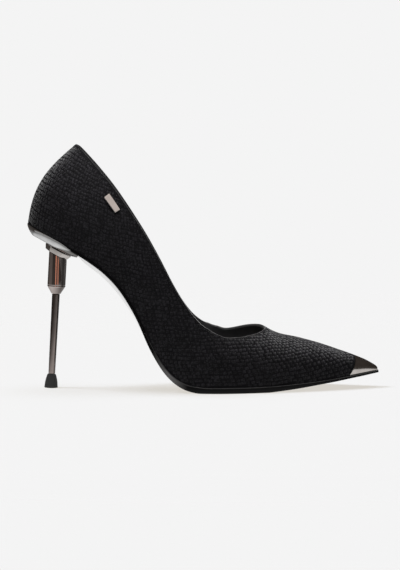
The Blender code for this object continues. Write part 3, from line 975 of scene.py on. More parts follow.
def scale_rows(tree, given):
    """Points of the flat leather where scales sit: shifted rows that follow a wide arc."""
    length = given["Scale length"]
    width = given["Scale width"]
    bend = given["Bend radius"]
    grid = made(tree, "GeometryNodeMeshGrid", Vertices_X=given["Columns"], Vertices_Y=given["Rows"],
                Size_X=times(tree, minus(tree, given["Columns"], 1.0), length),
                Size_Y=times(tree, minus(tree, given["Rows"], 1.0), width))
    place = made(tree, "GeometryNodeInputPosition")
    noise = tree_node(tree, "ShaderNodeTexNoise", Vector=place, Scale=WARP_FREQUENCY, Detail=WARP_DETAIL)
    drift = combine(tree, "SUBTRACT", noise.outputs["Color"], NOISE_MIDDLE)
    drift = parts_of(tree, scaled(tree, drift, given["Warp"]))
    spot = parts_of(tree, place)
    row = calculate(tree, "ROUND", over(tree, spot["Y"], width))
    shift = calculate(tree, "FLOORED_MODULO", times(tree, row, SCALE_SHIFT), 1.0)
    shaken = []
    for step in JITTER_SEEDS:
        seed = plus(tree, given["Seed"], step)
        shaken.append(random_between(tree, -SCALE_JITTER, SCALE_JITTER, seed))
    along = plus(tree, plus(tree, spot["X"], times(tree, shift, length)), drift["X"])
    along = plus(tree, along, shaken[0])
    across = plus(tree, plus(tree, spot["Y"], drift["Y"]), shaken[1])
    swing = over(tree, along, bend)
    reach = minus(tree, bend, across)
    bent_x = times(tree, reach, calculate(tree, "SINE", swing))
    bent_y = minus(tree, bend, times(tree, reach, calculate(tree, "COSINE", swing)))
    bent = vector_of(tree, bent_x, bent_y)
    lay = vector_of(tree, swing, over(tree, reach, bend))
    kept_lay = made(tree, "GeometryNodeStoreNamedAttribute", data_type="FLOAT_VECTOR", domain="POINT",
                    Geometry=grid, Name=LAY, Value=lay)
    laid = made(tree, "GeometryNodeSetPosition", Geometry=kept_lay, Position=bent)
    return made(tree, "GeometryNodeTransform", Geometry=laid, Rotation=vector_of(tree, z=given["Turn"]))


def scales_tree():
    """Rows of low scales on the flat leather, carried onto one side of the upper."""
    tree, given, result = new_tree("embossed scales", (
        ("Scale length", "Float"), ("Scale width", "Float"), ("Groove", "Float"), ("Height", "Float"),
        ("Sunk", "Float"), ("Warp", "Float"), ("Sheet size", "Float"), ("Bend radius", "Float"),
        ("Turn", "Float"), ("Columns", "Int"), ("Rows", "Int"), ("Seed", "Int"), ("Leather", "Material"),
    ))
    half = given["Geometry"]
    seed = given["Seed"]
    place = made(tree, "GeometryNodeInputPosition")
    flat_place = scaled(tree, place, over(tree, 1.0, given["Sheet size"]))
    spot = combine(tree, "ADD", flat_place, (*SHEET_MIDDLE, 0.0))
    space, is_on = sampled_from_sheet(tree, half, "FLOAT", kept_value(tree, "FLOAT", ROOM), spot)
    inside = times(tree, is_on, calculate(tree, "GREATER_THAN", space, 0.0))
    kept = made(tree, "GeometryNodeDeleteGeometry", domain="POINT", Geometry=scale_rows(tree, given),
                Selection=minus(tree, 1.0, inside))
    lay = parts_of(tree, kept_value(tree, "FLOAT_VECTOR", LAY))
    facing = plus(tree, lay["X"], given["Turn"])
    facing = plus(tree, facing, random_between(tree, -SCALE_TURN, SCALE_TURN, seed))
    length, width = [random_between(tree, *SCALE_SIZES, plus(tree, seed, step)) for step in SIZE_SEEDS]
    size = vector_of(tree, times(tree, length, lay["Y"]), width, 1.0)
    pads = made(tree, "GeometryNodeInstanceOnPoints", Points=kept, Instance=scale_pad(tree, given),
                Rotation=vector_of(tree, z=facing), Scale=size)
    toned = made(tree, "GeometryNodeStoreNamedAttribute", data_type="FLOAT", domain="INSTANCE",
                 Geometry=pads, Name=TONE, Value=random_between(tree, 0.0, 1.0, seed))
    real = made(tree, "GeometryNodeRealizeInstances", Geometry=toned)
    normal = made(tree, "GeometryNodeInputNormal")
    base, is_base = sampled_from_sheet(tree, half, "FLOAT_VECTOR", place, spot)
    out = sampled_from_sheet(tree, half, "FLOAT_VECTOR", normal, spot)[0]
    on_leather = made(tree, "GeometryNodeDeleteGeometry", domain="POINT", Geometry=real,
                      Selection=minus(tree, 1.0, is_base))
    lifted = combine(tree, "ADD", base, scaled(tree, out, parts_of(tree, place)["Z"]))
    worn = made(tree, "GeometryNodeSetPosition", Geometry=on_leather, Position=lifted)
    smooth = made(tree, "GeometryNodeSetShadeSmooth", Geometry=worn)
    painted = made(tree, "GeometryNodeSetMaterial", Geometry=smooth, Material=given["Leather"])
    tree.links.new(painted, result)
    return tree


def build_scales(finish):
    tree = scales_tree()
    for side, name in ((OUTER, "embossed_scales_outer"), (INNER, "embossed_scales_inner")):
        scales = leather_half(side)
        scales.name = name
        run_tree(scales, tree, scale_length=SCALE_LENGTH, scale_width=SCALE_WIDTH, groove=SCALE_GROOVE,
                 height=SCALE_HEIGHT, sunk=SCALE_SUNK, warp=SCALE_WARP, sheet_size=SHEET_SIZE,
                 bend_radius=-side * SCALE_BEND, turn=-side * SCALE_ROWS_TURN,
                 columns=round(SHEET_SIZE / SCALE_LENGTH), rows=round(SHEET_SIZE / SCALE_WIDTH),
                 seed=SCALE_SEED + side, leather=finish["scale_leather"])
        place_piece(scales, "upper_leather")


# Upper, its edge and stitches, and the toe cap

def build_upper(finish):
    places = upper_places()
    ribs = [section_rib(place, OUTER, RIB_STEPS) for place in reversed(places)]
    ribs += [section_rib(place, INNER, RIB_STEPS) for place in places[1:]]
    layers = ("ground_leather", "cut_edge", "lining_leather")
    mesh = mesh_from(sheet_shape(ribs), "upper_shell")
    upper = add_piece("upper_shell", mesh, *(finish[name] for name in layers))
    wall = add_wall(upper, UPPER_WALL, WALL_INSIDE)
    wall.material_offset_rim = layers.index("cut_edge")
    wall.material_offset = layers.index("lining_leather")
    finish_piece(upper, "upper_leather", "upper")


def topline_frames():
    """Points round the topline with the directions out of the leather and up past its edge."""
    loop = topline_loop()
    points = topline_points()
    frames = []
    for index, (place, side) in enumerate(loop):
        tangent = (points[(index + 1) % len(points)] - points[index - 1]).normalized()
        share = topline_share(place, side)
        normal = last_normal(place, side, share)
        if place == THROAT_ROW:
            normal = (normal + last_normal(place, -side, share)).normalized()
        normal = (normal - tangent * normal.dot(tangent)).normalized()
        frames.append((points[index], normal, tangent.cross(normal)))
    return frames


def build_topline_edge(finish):
    """Rounded edge of the upper, round the collar and the throat."""
    rings = []
    half = UPPER_WALL / 2 * MM
    for point, normal, up in topline_frames():
        out = normal * (half + EDGE_PROUD * MM)
        rings.append(ring_round(point - normal * half, out, up * EDGE_RISE * MM, EDGE_STEPS))
    rings.append(rings[0])
    shape = sheet_shape(rings)
    bmesh.ops.recalc_face_normals(shape, faces=shape.faces)
    edge = add_piece("topline_edge", mesh_from(shape, "topline_edge"), finish["cut_edge"])
    edge.data.shade_smooth()
    place_piece(edge, "upper_leather")


def stitches_tree():
    """Short stitches spaced evenly along a path."""
    tree, given, result = new_tree("topline stitches", (
        ("Pitch", "Float"), ("Length", "Float"), ("Thickness", "Float"), ("Thread", "Material"),
    ))
    path = made(tree, "GeometryNodeMeshToCurve", Mesh=given["Geometry"])
    even = made(tree, "GeometryNodeResampleCurve", mode="LENGTH", Curve=path, Length=given["Pitch"])
    stitch = made(tree, "GeometryNodeMeshUVSphere", Segments=STITCH_SEGMENTS, Rings=STITCH_RINGS,
                  Radius=UNIT_RADIUS)
    size = vector_of(tree, given["Length"], given["Thickness"], given["Thickness"])
    sized = made(tree, "GeometryNodeTransform", Geometry=stitch, Scale=size)
    tangent = made(tree, "GeometryNodeInputTangent")
    aligned = made(tree, "FunctionNodeAlignRotationToVector", axis="X", Vector=tangent)
    laid = made(tree, "GeometryNodeInstanceOnPoints", Points=even, Instance=sized, Rotation=aligned)
    real = made(tree, "GeometryNodeRealizeInstances", Geometry=laid)
    smooth = made(tree, "GeometryNodeSetShadeSmooth", Geometry=real)
    painted = made(tree, "GeometryNodeSetMaterial", Geometry=smooth, Material=given["Thread"])
    tree.links.new(painted, result)
    return tree


def build_stitches(finish):
    points = [point - up * STITCH_DOWN + normal * STITCH_LIFT for point, normal, up in topline_frames()]
    mesh = bpy.data.meshes.new("topline_stitches")
    count = len(points)
    mesh.from_pydata(points, [(i, (i + 1) % count) for i in range(count)], [])
    stitches = add_piece("topline_stitches", mesh)
    run_tree(stitches, stitches_tree(), pitch=STITCH_PITCH, length=STITCH_LENGTH,
             thickness=STITCH_THICKNESS, thread=finish["thread"])
    place_piece(stitches, "upper_leather")


def build_toe_cap(finish):
    places = places_between(CAP_ROW, LAST_ROW, CAP_ROW_STEPS)
    ribs = [section_rib(place, INNER, RIB_STEPS) for place in places]
    ribs += [section_rib(place, OUTER, RIB_STEPS) for place in reversed(places[:-1])]
    shape = sheet_shape(ribs)
    cap = add_piece("toe_cap_metal", mesh_from(shape, "toe_cap_metal"), finish["gunmetal"])
    add_wall(cap, CAP_WALL, WALL_INSIDE)
    round_edges(cap, CAP_EDGE)
    finish_piece(cap, "gunmetal", "toe_cap")


# Sole and sock

def sole_edge(place, side, outset):
    """Point of the feather line moved out in the plane of the sole."""
    up = section_up(place)
    out = outward(place, side)
    out = (out - up * out.dot(up)).normalized()
    return foot_point(place, side) + out * outset * MM


def cross_line(place, outset, shares, rises):
    """Points across the shoe at the given shares, each raised square to the sole."""
    up = section_up(place)
    left = sole_edge(place, OUTER, outset)
    right = sole_edge(place, INNER, outset)
    return [left.lerp(right, (share + 1) / 2) + up * rise * MM for share, rise in zip(shares, rises)]


def slab_mesh(name, lower, upper, side_material=0):
    """Closed solid between two stacks of cross lines."""
    shape = bmesh.new()
    walls = []
    bottoms = [[shape.verts.new(point) for point in line] for line in lower]
    tops = [[shape.verts.new(point) for point in line] for line in upper]
    last = len(lower[0]) - 1
    for i in range(len(lower) - 1):
        for j in range(last):
            shape.faces.new((bottoms[i][j], bottoms[i][j + 1], bottoms[i + 1][j + 1], bottoms[i + 1][j]))
            shape.faces.new((tops[i][j], tops[i + 1][j], tops[i + 1][j + 1], tops[i][j + 1]))
        for j in (0, last):
            walls.append(shape.faces.new((bottoms[i][j], bottoms[i + 1][j], tops[i + 1][j], tops[i][j])))
    for i in (0, len(lower) - 1):
        for j in range(last):
            walls.append(shape.faces.new((bottoms[i][j], bottoms[i][j + 1], tops[i][j + 1], tops[i][j])))
    for wall in walls:
        wall.material_index = side_material
    weld(shape)
    bmesh.ops.recalc_face_normals(shape, faces=shape.faces)
    return mesh_from(shape, name)


def across_shares(steps):
    return [2 * i / steps - 1 for i in range(steps + 1)]


def sole_depth(row, share):
    """Depth of the sole's underside under the feather line, full at the middle."""
    return GAP + row.edge + (row.belly - row.edge) * (1 - share ** 2)


def past_heel(place):
    """How far a section is past the heel dish, from 0 over it to 1 in front of it."""
    start, end = HEEL_ROWS
    return eased(min(max((place - start) / (end - start), 0.0), 1.0))


def build_outsole(finish):
    lower = []
    upper = []
    for place in places_between(0, LAST_ROW, SOLE_ROW_STEPS):
        row = feather_at(place)
        lip = HEEL_LIP + (SOLE_LIP - HEEL_LIP) * past_heel(place)
        shares = across_shares(SOLE_ACROSS)
        under = cross_line(place, lip, shares, [-sole_depth(row, share) for share in shares])
        lower.append([Vector((point.x, point.y, max(point.z, 0.0))) for point in under])
        upper.append(cross_line(place, lip, shares, [-GAP] * len(shares)))
    mesh = slab_mesh("gloss_sole", lower, upper, side_material=SOLE_RIM_SLOT)
    sole = add_piece("gloss_sole", mesh, finish["sole_gloss"], finish["sole_rim"])
    round_edges(sole, SOLE_EDGE, material=SOLE_RIM_SLOT)
    finish_piece(sole, "sole_gloss", "outsole")


def build_welt(finish):
    """Thin burnished bead in the joint of upper and sole, round the shoe in front of the heel."""
    places = places_between(WELT_START_ROW, LAST_ROW, ROW_STEPS)
    loop = [(place, OUTER) for place in places] + [(place, INNER) for place in reversed(places[:-1])]
    points = []
    for place, side in loop:
        shown = min((place - WELT_START_ROW) / WELT_FADE_ROWS, 1.0)
        outset = WELT_OUTSET * shown - WELT_RADIUS * (1 - shown)
        points.append(sole_edge(place, side, outset) - section_up(place) * WELT_DOWN * MM)
    rings = []
    for index, (place, _) in enumerate(loop):
        run = points[min(index + 1, len(points) - 1)] - points[max(index - 1, 0)]
        up = section_up(place)
        out = run.cross(up).normalized()
        radius = WELT_RADIUS * MM
        rings.append(ring_round(points[index], out * radius, up * radius, WELT_STEPS))
    shape = sheet_shape(rings)
    bmesh.ops.holes_fill(shape, edges=shape.edges, sides=WELT_STEPS)
    bmesh.ops.recalc_face_normals(shape, faces=shape.faces)
    bead = add_piece("welt_bead", mesh_from(shape, "welt_bead"), finish["welt"])
    smooth_shading(bead.data)
    place_piece(bead, "sole_gloss")


def build_sock(finish):
    """Soft sock over the insole, a little crowned across the foot."""
    lower = []
    upper = []
    for place in places_between(0, INSOLE_END_ROW, SOLE_ROW_STEPS):
        shares = across_shares(SOLE_ACROSS)
        crown = [SOCK_THICKNESS - SOCK_CROWN * share ** SOCK_CROWN_POWER for share in shares]
        lower.append(cross_line(place, -SOCK_INSET, shares, [0.0] * len(shares)))
        upper.append(cross_line(place, -SOCK_INSET, shares, crown))
    sock = add_piece("insole_sock", slab_mesh("insole_sock", lower, upper), finish["sock_leather"])
    round_edges(sock, SOCK_EDGE)
    finish_piece(sock, "insole_leather", "insole")


# Heel

def cup_fullness(x, share):
    """How much of the dish's full depth it has at a point, rounded off towards its rim."""
    reach = CUP_MIDDLE_X if x < CUP_MIDDLE_X else CUP_FRONT_X - CUP_MIDDLE_X
    along = min(abs(x - CUP_MIDDLE_X) / reach, 1.0)
    lengthwise = min(CUP_FULLNESS * (1 - along ** 2) ** CUP_ROUNDING, 1.0)
    side = max((abs(share) - 1) / CUP_SIDE + 1, 0.0)
    return lengthwise * math.sqrt(max(1 - side ** 2, 0.0))


def edge_shares(steps):
    """Shares across a section that lie closer together towards both edges."""
    return [-math.cos(math.pi * i / steps) for i in range(steps + 1)]


def build_heel_cup(finish):
    lower = []
    upper = []
    for place in places_between(0, CUP_END_ROW, CUP_ROW_STEPS):
        row = feather_at(place)
        shares = edge_shares(CUP_ACROSS)
        rim = CUP_RIM + (CUP_FRONT_RIM - CUP_RIM) * past_heel(place)
        rises = []
        for share in shares:
            depth = rim + CUP_EDGE + (CUP_BOTTOM - rim - CUP_EDGE) * cup_fullness(row.x, share)
            rises.append(-max(depth, sole_depth(row, share) * past_heel(place)))
        lower.append(cross_line(place, CUP_OUTSET, shares, rises))
        upper.append(cross_line(place, CUP_OUTSET, shares, [-rim] * len(shares)))
    cup = add_piece("heel_dish", slab_mesh("heel_dish", lower, upper), finish["dish_metal"])
    smooth_shading(cup.data)
    place_piece(cup, "gunmetal", "heel_cup")


def seat_frame():
    """Middle of the nut's upper face, and the direction square to the heel seat."""
    places = places_between(0, CUP_END_ROW, SEAT_ROW_STEPS)
    place = min(places, key=lambda item: abs(feather_at(item).x - CUP_MIDDLE_X))
    up = section_up(place)
    seat = foot_point(place, OUTER)
    depth = sole_depth(feather_at(place), 0) + GAP + CUP_DEPTH + GAP
    level = seat - up * depth * MM
    along = (NUT_X - TREAD_CENTRE_X) * MM
    height = level.z - up.x / up.z * (along - level.x)
    return Vector((along, 0, height)), up


def turn_from_upright(direction):
    return UPRIGHT.rotation_difference(direction).to_matrix().to_4x4()


def build_heel_nut(finish):
    face, up = seat_frame()
    shape = bmesh.new()
    radius = NUT_ACROSS_CORNERS / 2 * MM
    rings = []
    turns = [math.radians(360 / NUT_CORNERS * corner + NUT_TURN) for corner in range(NUT_CORNERS)]
    for size, down in ((NUT_TOP, 0.0), (1.0, NUT_CHAMFER), (NUT_TAPER, NUT_THICKNESS)):
        reach = radius * size
        ring = [(reach * math.cos(turn), reach * math.sin(turn), -down * MM) for turn in turns]
        rings.append([shape.verts.new(point) for point in ring])
    for ring, below in zip(rings, rings[1:]):
        for corner in range(NUT_CORNERS):
            after = (corner + 1) % NUT_CORNERS
            shape.faces.new((ring[corner], ring[after], below[after], below[corner]))
    shape.faces.new(rings[0])
    shape.faces.new(rings[-1])
    bmesh.ops.recalc_face_normals(shape, faces=shape.faces)
    forward = Vector((up.z, 0, -up.x)) * NUT_FORWARD * MM
    place = Matrix.Translation(face + forward) @ turn_from_upright(up)
    bmesh.ops.transform(shape, verts=shape.verts, matrix=place)
    nut = add_piece("heel_hex_nut", mesh_from(shape, "heel_hex_nut"), finish["gunmetal"])
    round_edges(nut, NUT_EDGE)
    finish_piece(nut, "gunmetal", "heel_nut")


def heel_axis():
    """Frame of the heel's axis, from the floor up to the nut."""
    foot = in_frame(HEEL_FOOT_X, 0, 0)
    return Matrix.Translation(foot) @ turn_from_upright(seat_frame()[0] - foot)


def turned_shape(profile):
    """Solid turned about the heel's axis from a profile that runs from its top down."""
    outline = [(0.0, profile[0][1]), *profile, (0.0, profile[-1][1])]
    rings = []
    for step in range(ROUND_STEPS + 1):
        turn = 2 * math.pi * step / ROUND_STEPS
        ahead = math.cos(turn) * MM
        aside = math.sin(turn) * MM
        rings.append([(radius * ahead, radius * aside, height * MM) for radius, height in outline])
    shape = sheet_shape(rings)
    bmesh.ops.recalc_face_normals(shape, faces=shape.faces)
    bmesh.ops.transform(shape, verts=shape.verts, matrix=heel_axis())
    return shape


def cut_off(shape, point, direction):
    """Take away all that lies past a plane, and close the cut."""
    whole = shape.verts[:] + shape.edges[:] + shape.faces[:]
    cut = bmesh.ops.bisect_plane(shape, geom=whole, plane_co=point, plane_no=direction, clear_outer=True)
    rim = [item for item in cut["geom_cut"] if isinstance(item, bmesh.types.BMEdge)]
    bmesh.ops.edgeloop_fill(shape, edges=rim)


def build_heel(finish):
    face, up = seat_frame()
    barrel = turned_shape(BARREL_PROFILE)
    cut_off(barrel, face - up * (NUT_THICKNESS + GAP) * MM, up)
    tip = turned_shape(TIP_PROFILE)
    for vertex in tip.verts:
        vertex.co.z = max(vertex.co.z, 0.0)
    pieces = (
        ("heel_barrel_metal", barrel, "heel_metal", "gunmetal", "heel_barrel", BARREL_EDGE),
        ("heel_rod_metal", turned_shape(ROD_PROFILE), "rod_metal", "gunmetal", "heel_rod", BARREL_EDGE),
        ("heel_tip_rubber", tip, "rubber", "rubber", "heel_tip", TIP_EDGE),
    )
    for name, shape, material, slot, node, edge in pieces:
        piece = add_piece(name, mesh_from(shape, name), finish[material])
        round_edges(piece, edge, TURNED_BEVEL_STEPS)
        finish_piece(piece, slot, node)


# Side plate

def build_side_plate(finish):
    """Plain plate that follows the upper's surface on the outer side."""
    middle = last_point(PLATE_ROW, OUTER, PLATE_SHARE)
    by_row = (last_point(PLATE_ROW + ROW_NUDGE, OUTER, PLATE_SHARE) - middle) / ROW_NUDGE
    by_share = (last_point(PLATE_ROW, OUTER, PLATE_SHARE + ROW_NUDGE) - middle) / ROW_NUDGE
    topline = top_point(PLATE_ROW + ROW_NUDGE, OUTER) - top_point(PLATE_ROW - ROW_NUDGE, OUTER)
    normal = last_normal(PLATE_ROW, OUTER, PLATE_SHARE)
    along = (topline - normal * topline.dot(normal)).normalized()
    across = along.cross(normal)
    to_section = Matrix((by_row, by_share, normal)).transposed().inverted()
    steps_along, steps_across = PLATE_STEPS
    ribs = []
    for i in range(steps_along + 1):
        rib = []
        for j in range(steps_across + 1):
            reach = along * (i / steps_along - 0.5) * PLATE_LENGTH * MM
            reach = reach + across * (j / steps_across - 0.5) * PLATE_WIDTH * MM
            shift = to_section @ reach
            place = PLATE_ROW + shift.x
            share = PLATE_SHARE + shift.y
            out = last_normal(place, OUTER, share)
            rib.append(last_point(place, OUTER, share) + out * GAP * MM)
        ribs.append(rib)
    mesh = mesh_from(sheet_shape(ribs), "plain_side_plate")
    plate = add_piece("plain_side_plate", mesh, finish["gunmetal"])
    add_wall(plate, PLATE_THICKNESS, WALL_OUTSIDE)
    round_edges(plate, PLATE_EDGE)
    finish_piece(plate, "gunmetal", "side_plate")


# Finishes

def start_finish(name):
    """New material with its shader's constants set, and the values of its finish."""
    values = FINISHES[name]
    material = bpy.data.materials.new(name)
    material.use_nodes = True
    shader = material.node_tree.nodes["Principled BSDF"]
    shader.inputs["Roughness"].default_value = values.roughness
    for socket, value in values.constants.items():
        shader.inputs[socket].default_value = value
    return material, material.node_tree, shader, values


def own_spot(tree):
    """Place on the piece in its own coordinates."""
    return tree_node(tree, "ShaderNodeTexCoord").outputs["Object"]


def noise_on(tree, size, detail=NOISE_DETAIL):
    """Noise on the piece's own coordinates, its patches about this many millimetres wide."""
    scale = 1.0 / (size * MM)
    noise = tree_node(tree, "ShaderNodeTexNoise", Vector=own_spot(tree), Scale=scale, Detail=detail)
    return noise.outputs["Fac"]


def blend_colours(tree, factor, first, second):
    mix = tree_node(tree, "ShaderNodeMix", data_type="RGBA")
    tree.links.new(factor, mix.inputs["Factor"])
    mix.inputs[MIX_FIRST].default_value = (*first, 1.0)
    mix.inputs[MIX_SECOND].default_value = (*second, 1.0)
    return mix.outputs[MIX_RESULT]


def colour_by(tree, shader, factor, values):
    """Run the finish's colour from dark to light."""
    tree.links.new(blend_colours(tree, factor, values.dark, values.light), shader.inputs["Base Color"])


def stretch(tree, factor, low, high, start=NOISE_SPAN[0], end=NOISE_SPAN[1]):
    """The factor's stretch from start to end, spread over a range of values."""
    spread = tree_node(tree, "ShaderNodeMapRange", Value=factor, From_Min=start, From_Max=end,
                       To_Min=low, To_Max=high)
    return spread.outputs["Result"]


def roughen(tree, shader, factor, low, high):
    tree.links.new(stretch(tree, factor, low, high), shader.inputs["Roughness"])


def bump_on(tree, shader, height, depth, strength=1.0):
    bump = made(tree, "ShaderNodeBump", Strength=strength, Distance=depth * MM, Height=height)
    tree.links.new(bump, shader.inputs["Normal"])


def scale_leather():
    """Matt embossed leather with a short nap, each scale a little darker or lighter than the next."""
    material, tree, shader, values = start_finish("scale_leather")
    tone = tree_node(tree, "ShaderNodeAttribute", attribute_name=TONE).outputs["Fac"]
    patch = noise_on(tree, values.patch)
    nap = noise_on(tree, values.grain, LEATHER_DETAIL)
    tone_share, patch_share, nap_share = SCALE_BLEND
    blend = plus(tree, times(tree, tone, tone_share), times(tree, patch, patch_share))
    blend = plus(tree, blend, times(tree, nap, nap_share))
    colour_by(tree, shader, stretch(tree, blend, 0.0, 1.0, *SCALE_CONTRAST), values)
    roughen(tree, shader, patch, *SCALE_ROUGHNESS)
    bump_on(tree, shader, nap, values.depth)
    return material


def ground_leather():
    """Floor of the embossing, rougher than the scales and evenly dark."""
    material, tree, shader, values = start_finish("ground_leather")
    colour_by(tree, shader, noise_on(tree, values.patch), values)
    bump_on(tree, shader, noise_on(tree, values.grain, LEATHER_DETAIL), values.depth)
    return material


def cut_edge():
    """Inked edge of the leather round the topline, with a highlight painted on the throat's outer side.
    """
    material, tree, shader, values = start_finish("cut_edge")
    patch = noise_on(tree, values.patch)
    spot = parts_of(tree, own_spot(tree))
    # Painted highlight: lighter towards the throat and faint on the inner side, with random patches on
    # top
    along = stretch(tree, spot["X"], 0.0, EDGE_HIGHLIGHT_STRENGTH, *EDGE_HIGHLIGHT_ALONG)
    across = stretch(tree, spot["Y"], 1.0, EDGE_HIGHLIGHT_ON_INNER, *EDGE_HIGHLIGHT_SIDES)
    worn = plus(tree, times(tree, along, across), times(tree, patch, EDGE_PATCHES))
    colour_by(tree, shader, worn, values)
    bump_on(tree, shader, patch, values.depth)
    return material


def smooth_leather(name):
    """Smooth fine-grained leather of the lining and the sock."""
    material, tree, shader, values = start_finish(name)
    grain = tree_node(tree, "ShaderNodeTexVoronoi", feature="DISTANCE_TO_EDGE", Vector=own_spot(tree),
                      Scale=1.0 / (values.grain * MM))
    patch = noise_on(tree, values.patch)
    colour_by(tree, shader, stretch(tree, patch, 0.0, 1.0), values)
    roughen(tree, shader, patch, *(values.roughness + change for change in LEATHER_ROUGHER))
    bump_on(tree, shader, grain.outputs["Distance"], values.depth, LEATHER_BUMP)
    return material


def sole_gloss():
    """Black lacquer of the sole, with faint waviness."""
    material, tree, shader, values = start_finish("sole_gloss")
    wave = noise_on(tree, values.grain)
    colour_by(tree, shader, wave, values)
    roughen(tree, shader, noise_on(tree, SOLE_WORN_SIZE), *SOLE_ROUGHNESS)
    bump_on(tree, shader, wave, values.depth, SHALLOW_BUMP)
    return material


def sole_rim():
    """Burnished rounded edge of the sole, with a painted reflection that is lighter at the arch."""
    material, tree, shader, values = start_finish("sole_rim")
    along = parts_of(tree, own_spot(tree))["X"]
    # Painted reflection: the rim is lighter near the arch, with faint random patches
    from_arch = calculate(tree, "ABSOLUTE", minus(tree, along, ARCH_REFLECTION_MIDDLE))
    painted_reflection = stretch(tree, from_arch, 1.0, 0.0, *ARCH_REFLECTION_REACH)
    patch = times(tree, noise_on(tree, values.patch), ARCH_PATCHES)
    colour_by(tree, shader, plus(tree, painted_reflection, patch), values)
    bump_on(tree, shader, noise_on(tree, values.grain), values.depth)
    return material


def welt():
    """Burnished bead that catches the light between upper and sole."""
    material, tree, shader, values = start_finish("welt")
    colour_by(tree, shader, stretch(tree, noise_on(tree, values.patch), 0.0, 1.0), values)
    bump_on(tree, shader, noise_on(tree, values.grain), values.depth)
    return material


def start_metal(name):
    """Polished metal with fine polishing lines, its colour not set yet."""
    material, tree, shader, values = start_finish(name)
    change = values.roughness * METAL_ROUGHER
    worn = noise_on(tree, METAL_WORN_SIZE, METAL_DETAIL)
    roughen(tree, shader, worn, values.roughness - change, values.roughness + change)
    bump_on(tree, shader, noise_on(tree, values.grain, METAL_DETAIL), values.depth, SHALLOW_BUMP)
    return material, tree, shader, values


def gunmetal():
    """Polished nickel plate with faint cloudiness."""
    material, tree, shader, values = start_metal("gunmetal")
    colour_by(tree, shader, stretch(tree, noise_on(tree, values.patch), 0.0, 1.0), values)
    return material


def reach_along(tree, direction):
    """How far a spot of the piece lies along a direction."""
    return combine(tree, "DOT_PRODUCT", own_spot(tree), direction, result="Value")


def along_heel(tree, axis):
    """How far a spot lies from the heel's foot along one of the heel's own axes."""
    frame_of_heel = heel_axis()
    direction = frame_of_heel.col[axis].to_3d()
    return minus(tree, reach_along(tree, direction), frame_of_heel.translation.dot(direction))


def in_metres(span):
    return [value * MM for value in span]


def turned_metal(name, shade_of):
    """Polished metal of the turned heel, with a shade painted towards its sides."""
    material, tree, shader, values = start_metal(name)
    cloud = stretch(tree, noise_on(tree, values.patch), *HEEL_CLOUD)
    colour_by(tree, shader, times(tree, cloud, shade_of(tree)), values)
    return material


def rod_painted_shade(tree):
    """Share of light left on the rod by its painted shade, less towards its front and its back."""
    ahead = along_heel(tree, AHEAD_AXIS)
    front = stretch(tree, ahead, 1.0, ROD_FRONT_LEFT, *in_metres(ROD_FRONT))
    back = stretch(tree, ahead, ROD_BACK_LEFT, 1.0, *in_metres(ROD_BACK))
    return times(tree, front, back)


def barrel_painted_shade(tree):
    """Share of light left on the barrel and its cone by their painted shade, less towards their front.
    """
    ahead = along_heel(tree, AHEAD_AXIS)
    cone = stretch(tree, ahead, 1.0, CONE_FRONT_LEFT, *in_metres(CONE_FRONT))
    barrel = stretch(tree, ahead, 1.0, BARREL_FRONT_LEFT, *in_metres(BARREL_FRONT))
    above = stretch(tree, along_heel(tree, UP_AXIS), 0.0, 1.0, *in_metres(CONE_TOP))
    return plus(tree, cone, times(tree, above, minus(tree, barrel, cone)))


def dish_metal():
    """Polished nickel of the heel dish, with a painted reflection dark at its rim and painted shade at
    its front.
    """
    material, tree, shader, values = start_metal("dish_metal")
    face, up = seat_frame()
    level = face.dot(up)
    # Painted reflection: darker round the rim, lighter towards the dish's bottom, with random cloud
    under = stretch(tree, reach_along(tree, up), 1.0, DISH_RIM_PAINTED_LIGHT, level, level + CUP_BOTTOM * MM)
    lit = plus(tree, under, stretch(tree, noise_on(tree, values.patch), *DISH_CLOUD))
    # Painted shade over the dish's front, past a slanted line
    slant = Vector((DISH_SHADE_SLOPE, 0, 1)).normalized()
    line = in_frame(DISH_SHADE_X, 0, DISH_SHADE_Z).dot(slant)
    past_line = reach_along(tree, slant)
    shaded = stretch(tree, past_line, DISH_SHADE_LEFT, 1.0, line - DISH_SHADE_BLUR * MM, line)
    colour_by(tree, shader, times(tree, lit, shaded), values)
    return material


def rubber():
    """Matt moulded rubber of the heel tip."""
    material, tree, shader, values = start_finish("rubber")
    patch = noise_on(tree, values.patch)
    colour_by(tree, shader, patch, values)
    roughen(tree, shader, patch, *RUBBER_ROUGHNESS)
    bump_on(tree, shader, noise_on(tree, values.grain), values.depth)
    return material


def thread():
    """Waxed sewing thread with a faint unevenness."""
    material, tree, shader, values = start_finish("thread")
    colour_by(tree, shader, noise_on(tree, values.patch), values)
    bump_on(tree, shader, noise_on(tree, values.grain), values.depth)
    return material


def make_finishes():
    return {
        "scale_leather": scale_leather(),
        "ground_leather": ground_leather(),
        "cut_edge": cut_edge(),
        "lining_leather": smooth_leather("lining_leather"),
        "sock_leather": smooth_leather("sock_leather"),
        "sole_gloss": sole_gloss(),
        "sole_rim": sole_rim(),
        "welt": welt(),
        "gunmetal": gunmetal(),
        "dish_metal": dish_metal(),
        "heel_metal": turned_metal("heel_metal", barrel_painted_shade),
        "rod_metal": turned_metal("rod_metal", rod_painted_shade),
        "rubber": rubber(),
        "thread": thread(),
    }


# Stage, light and camera

def ray_is(tree, kind):
    """Whether the surface is met by such a ray."""
    return tree_node(tree, "ShaderNodeLightPath").outputs["Is " + kind + " Ray"]


def join_shaders(tree, kind, *sources):
    node = tree_node(tree, kind)
    for source, socket in zip(sources, node.inputs):
        tree.links.new(source, socket)
    return node.outputs[0]


def glowing(tree, glow_colour, glow, matt_colour):
    """Surface that glows by itself and is matt to other light."""
    glow = made(tree, "ShaderNodeEmission", Color=(*glow_colour, 1.0), Strength=glow)
    matt = made(tree, "ShaderNodeBsdfDiffuse", Color=(*matt_colour, 1.0))
    return join_shaders(tree, "ShaderNodeAddShader", glow, matt)


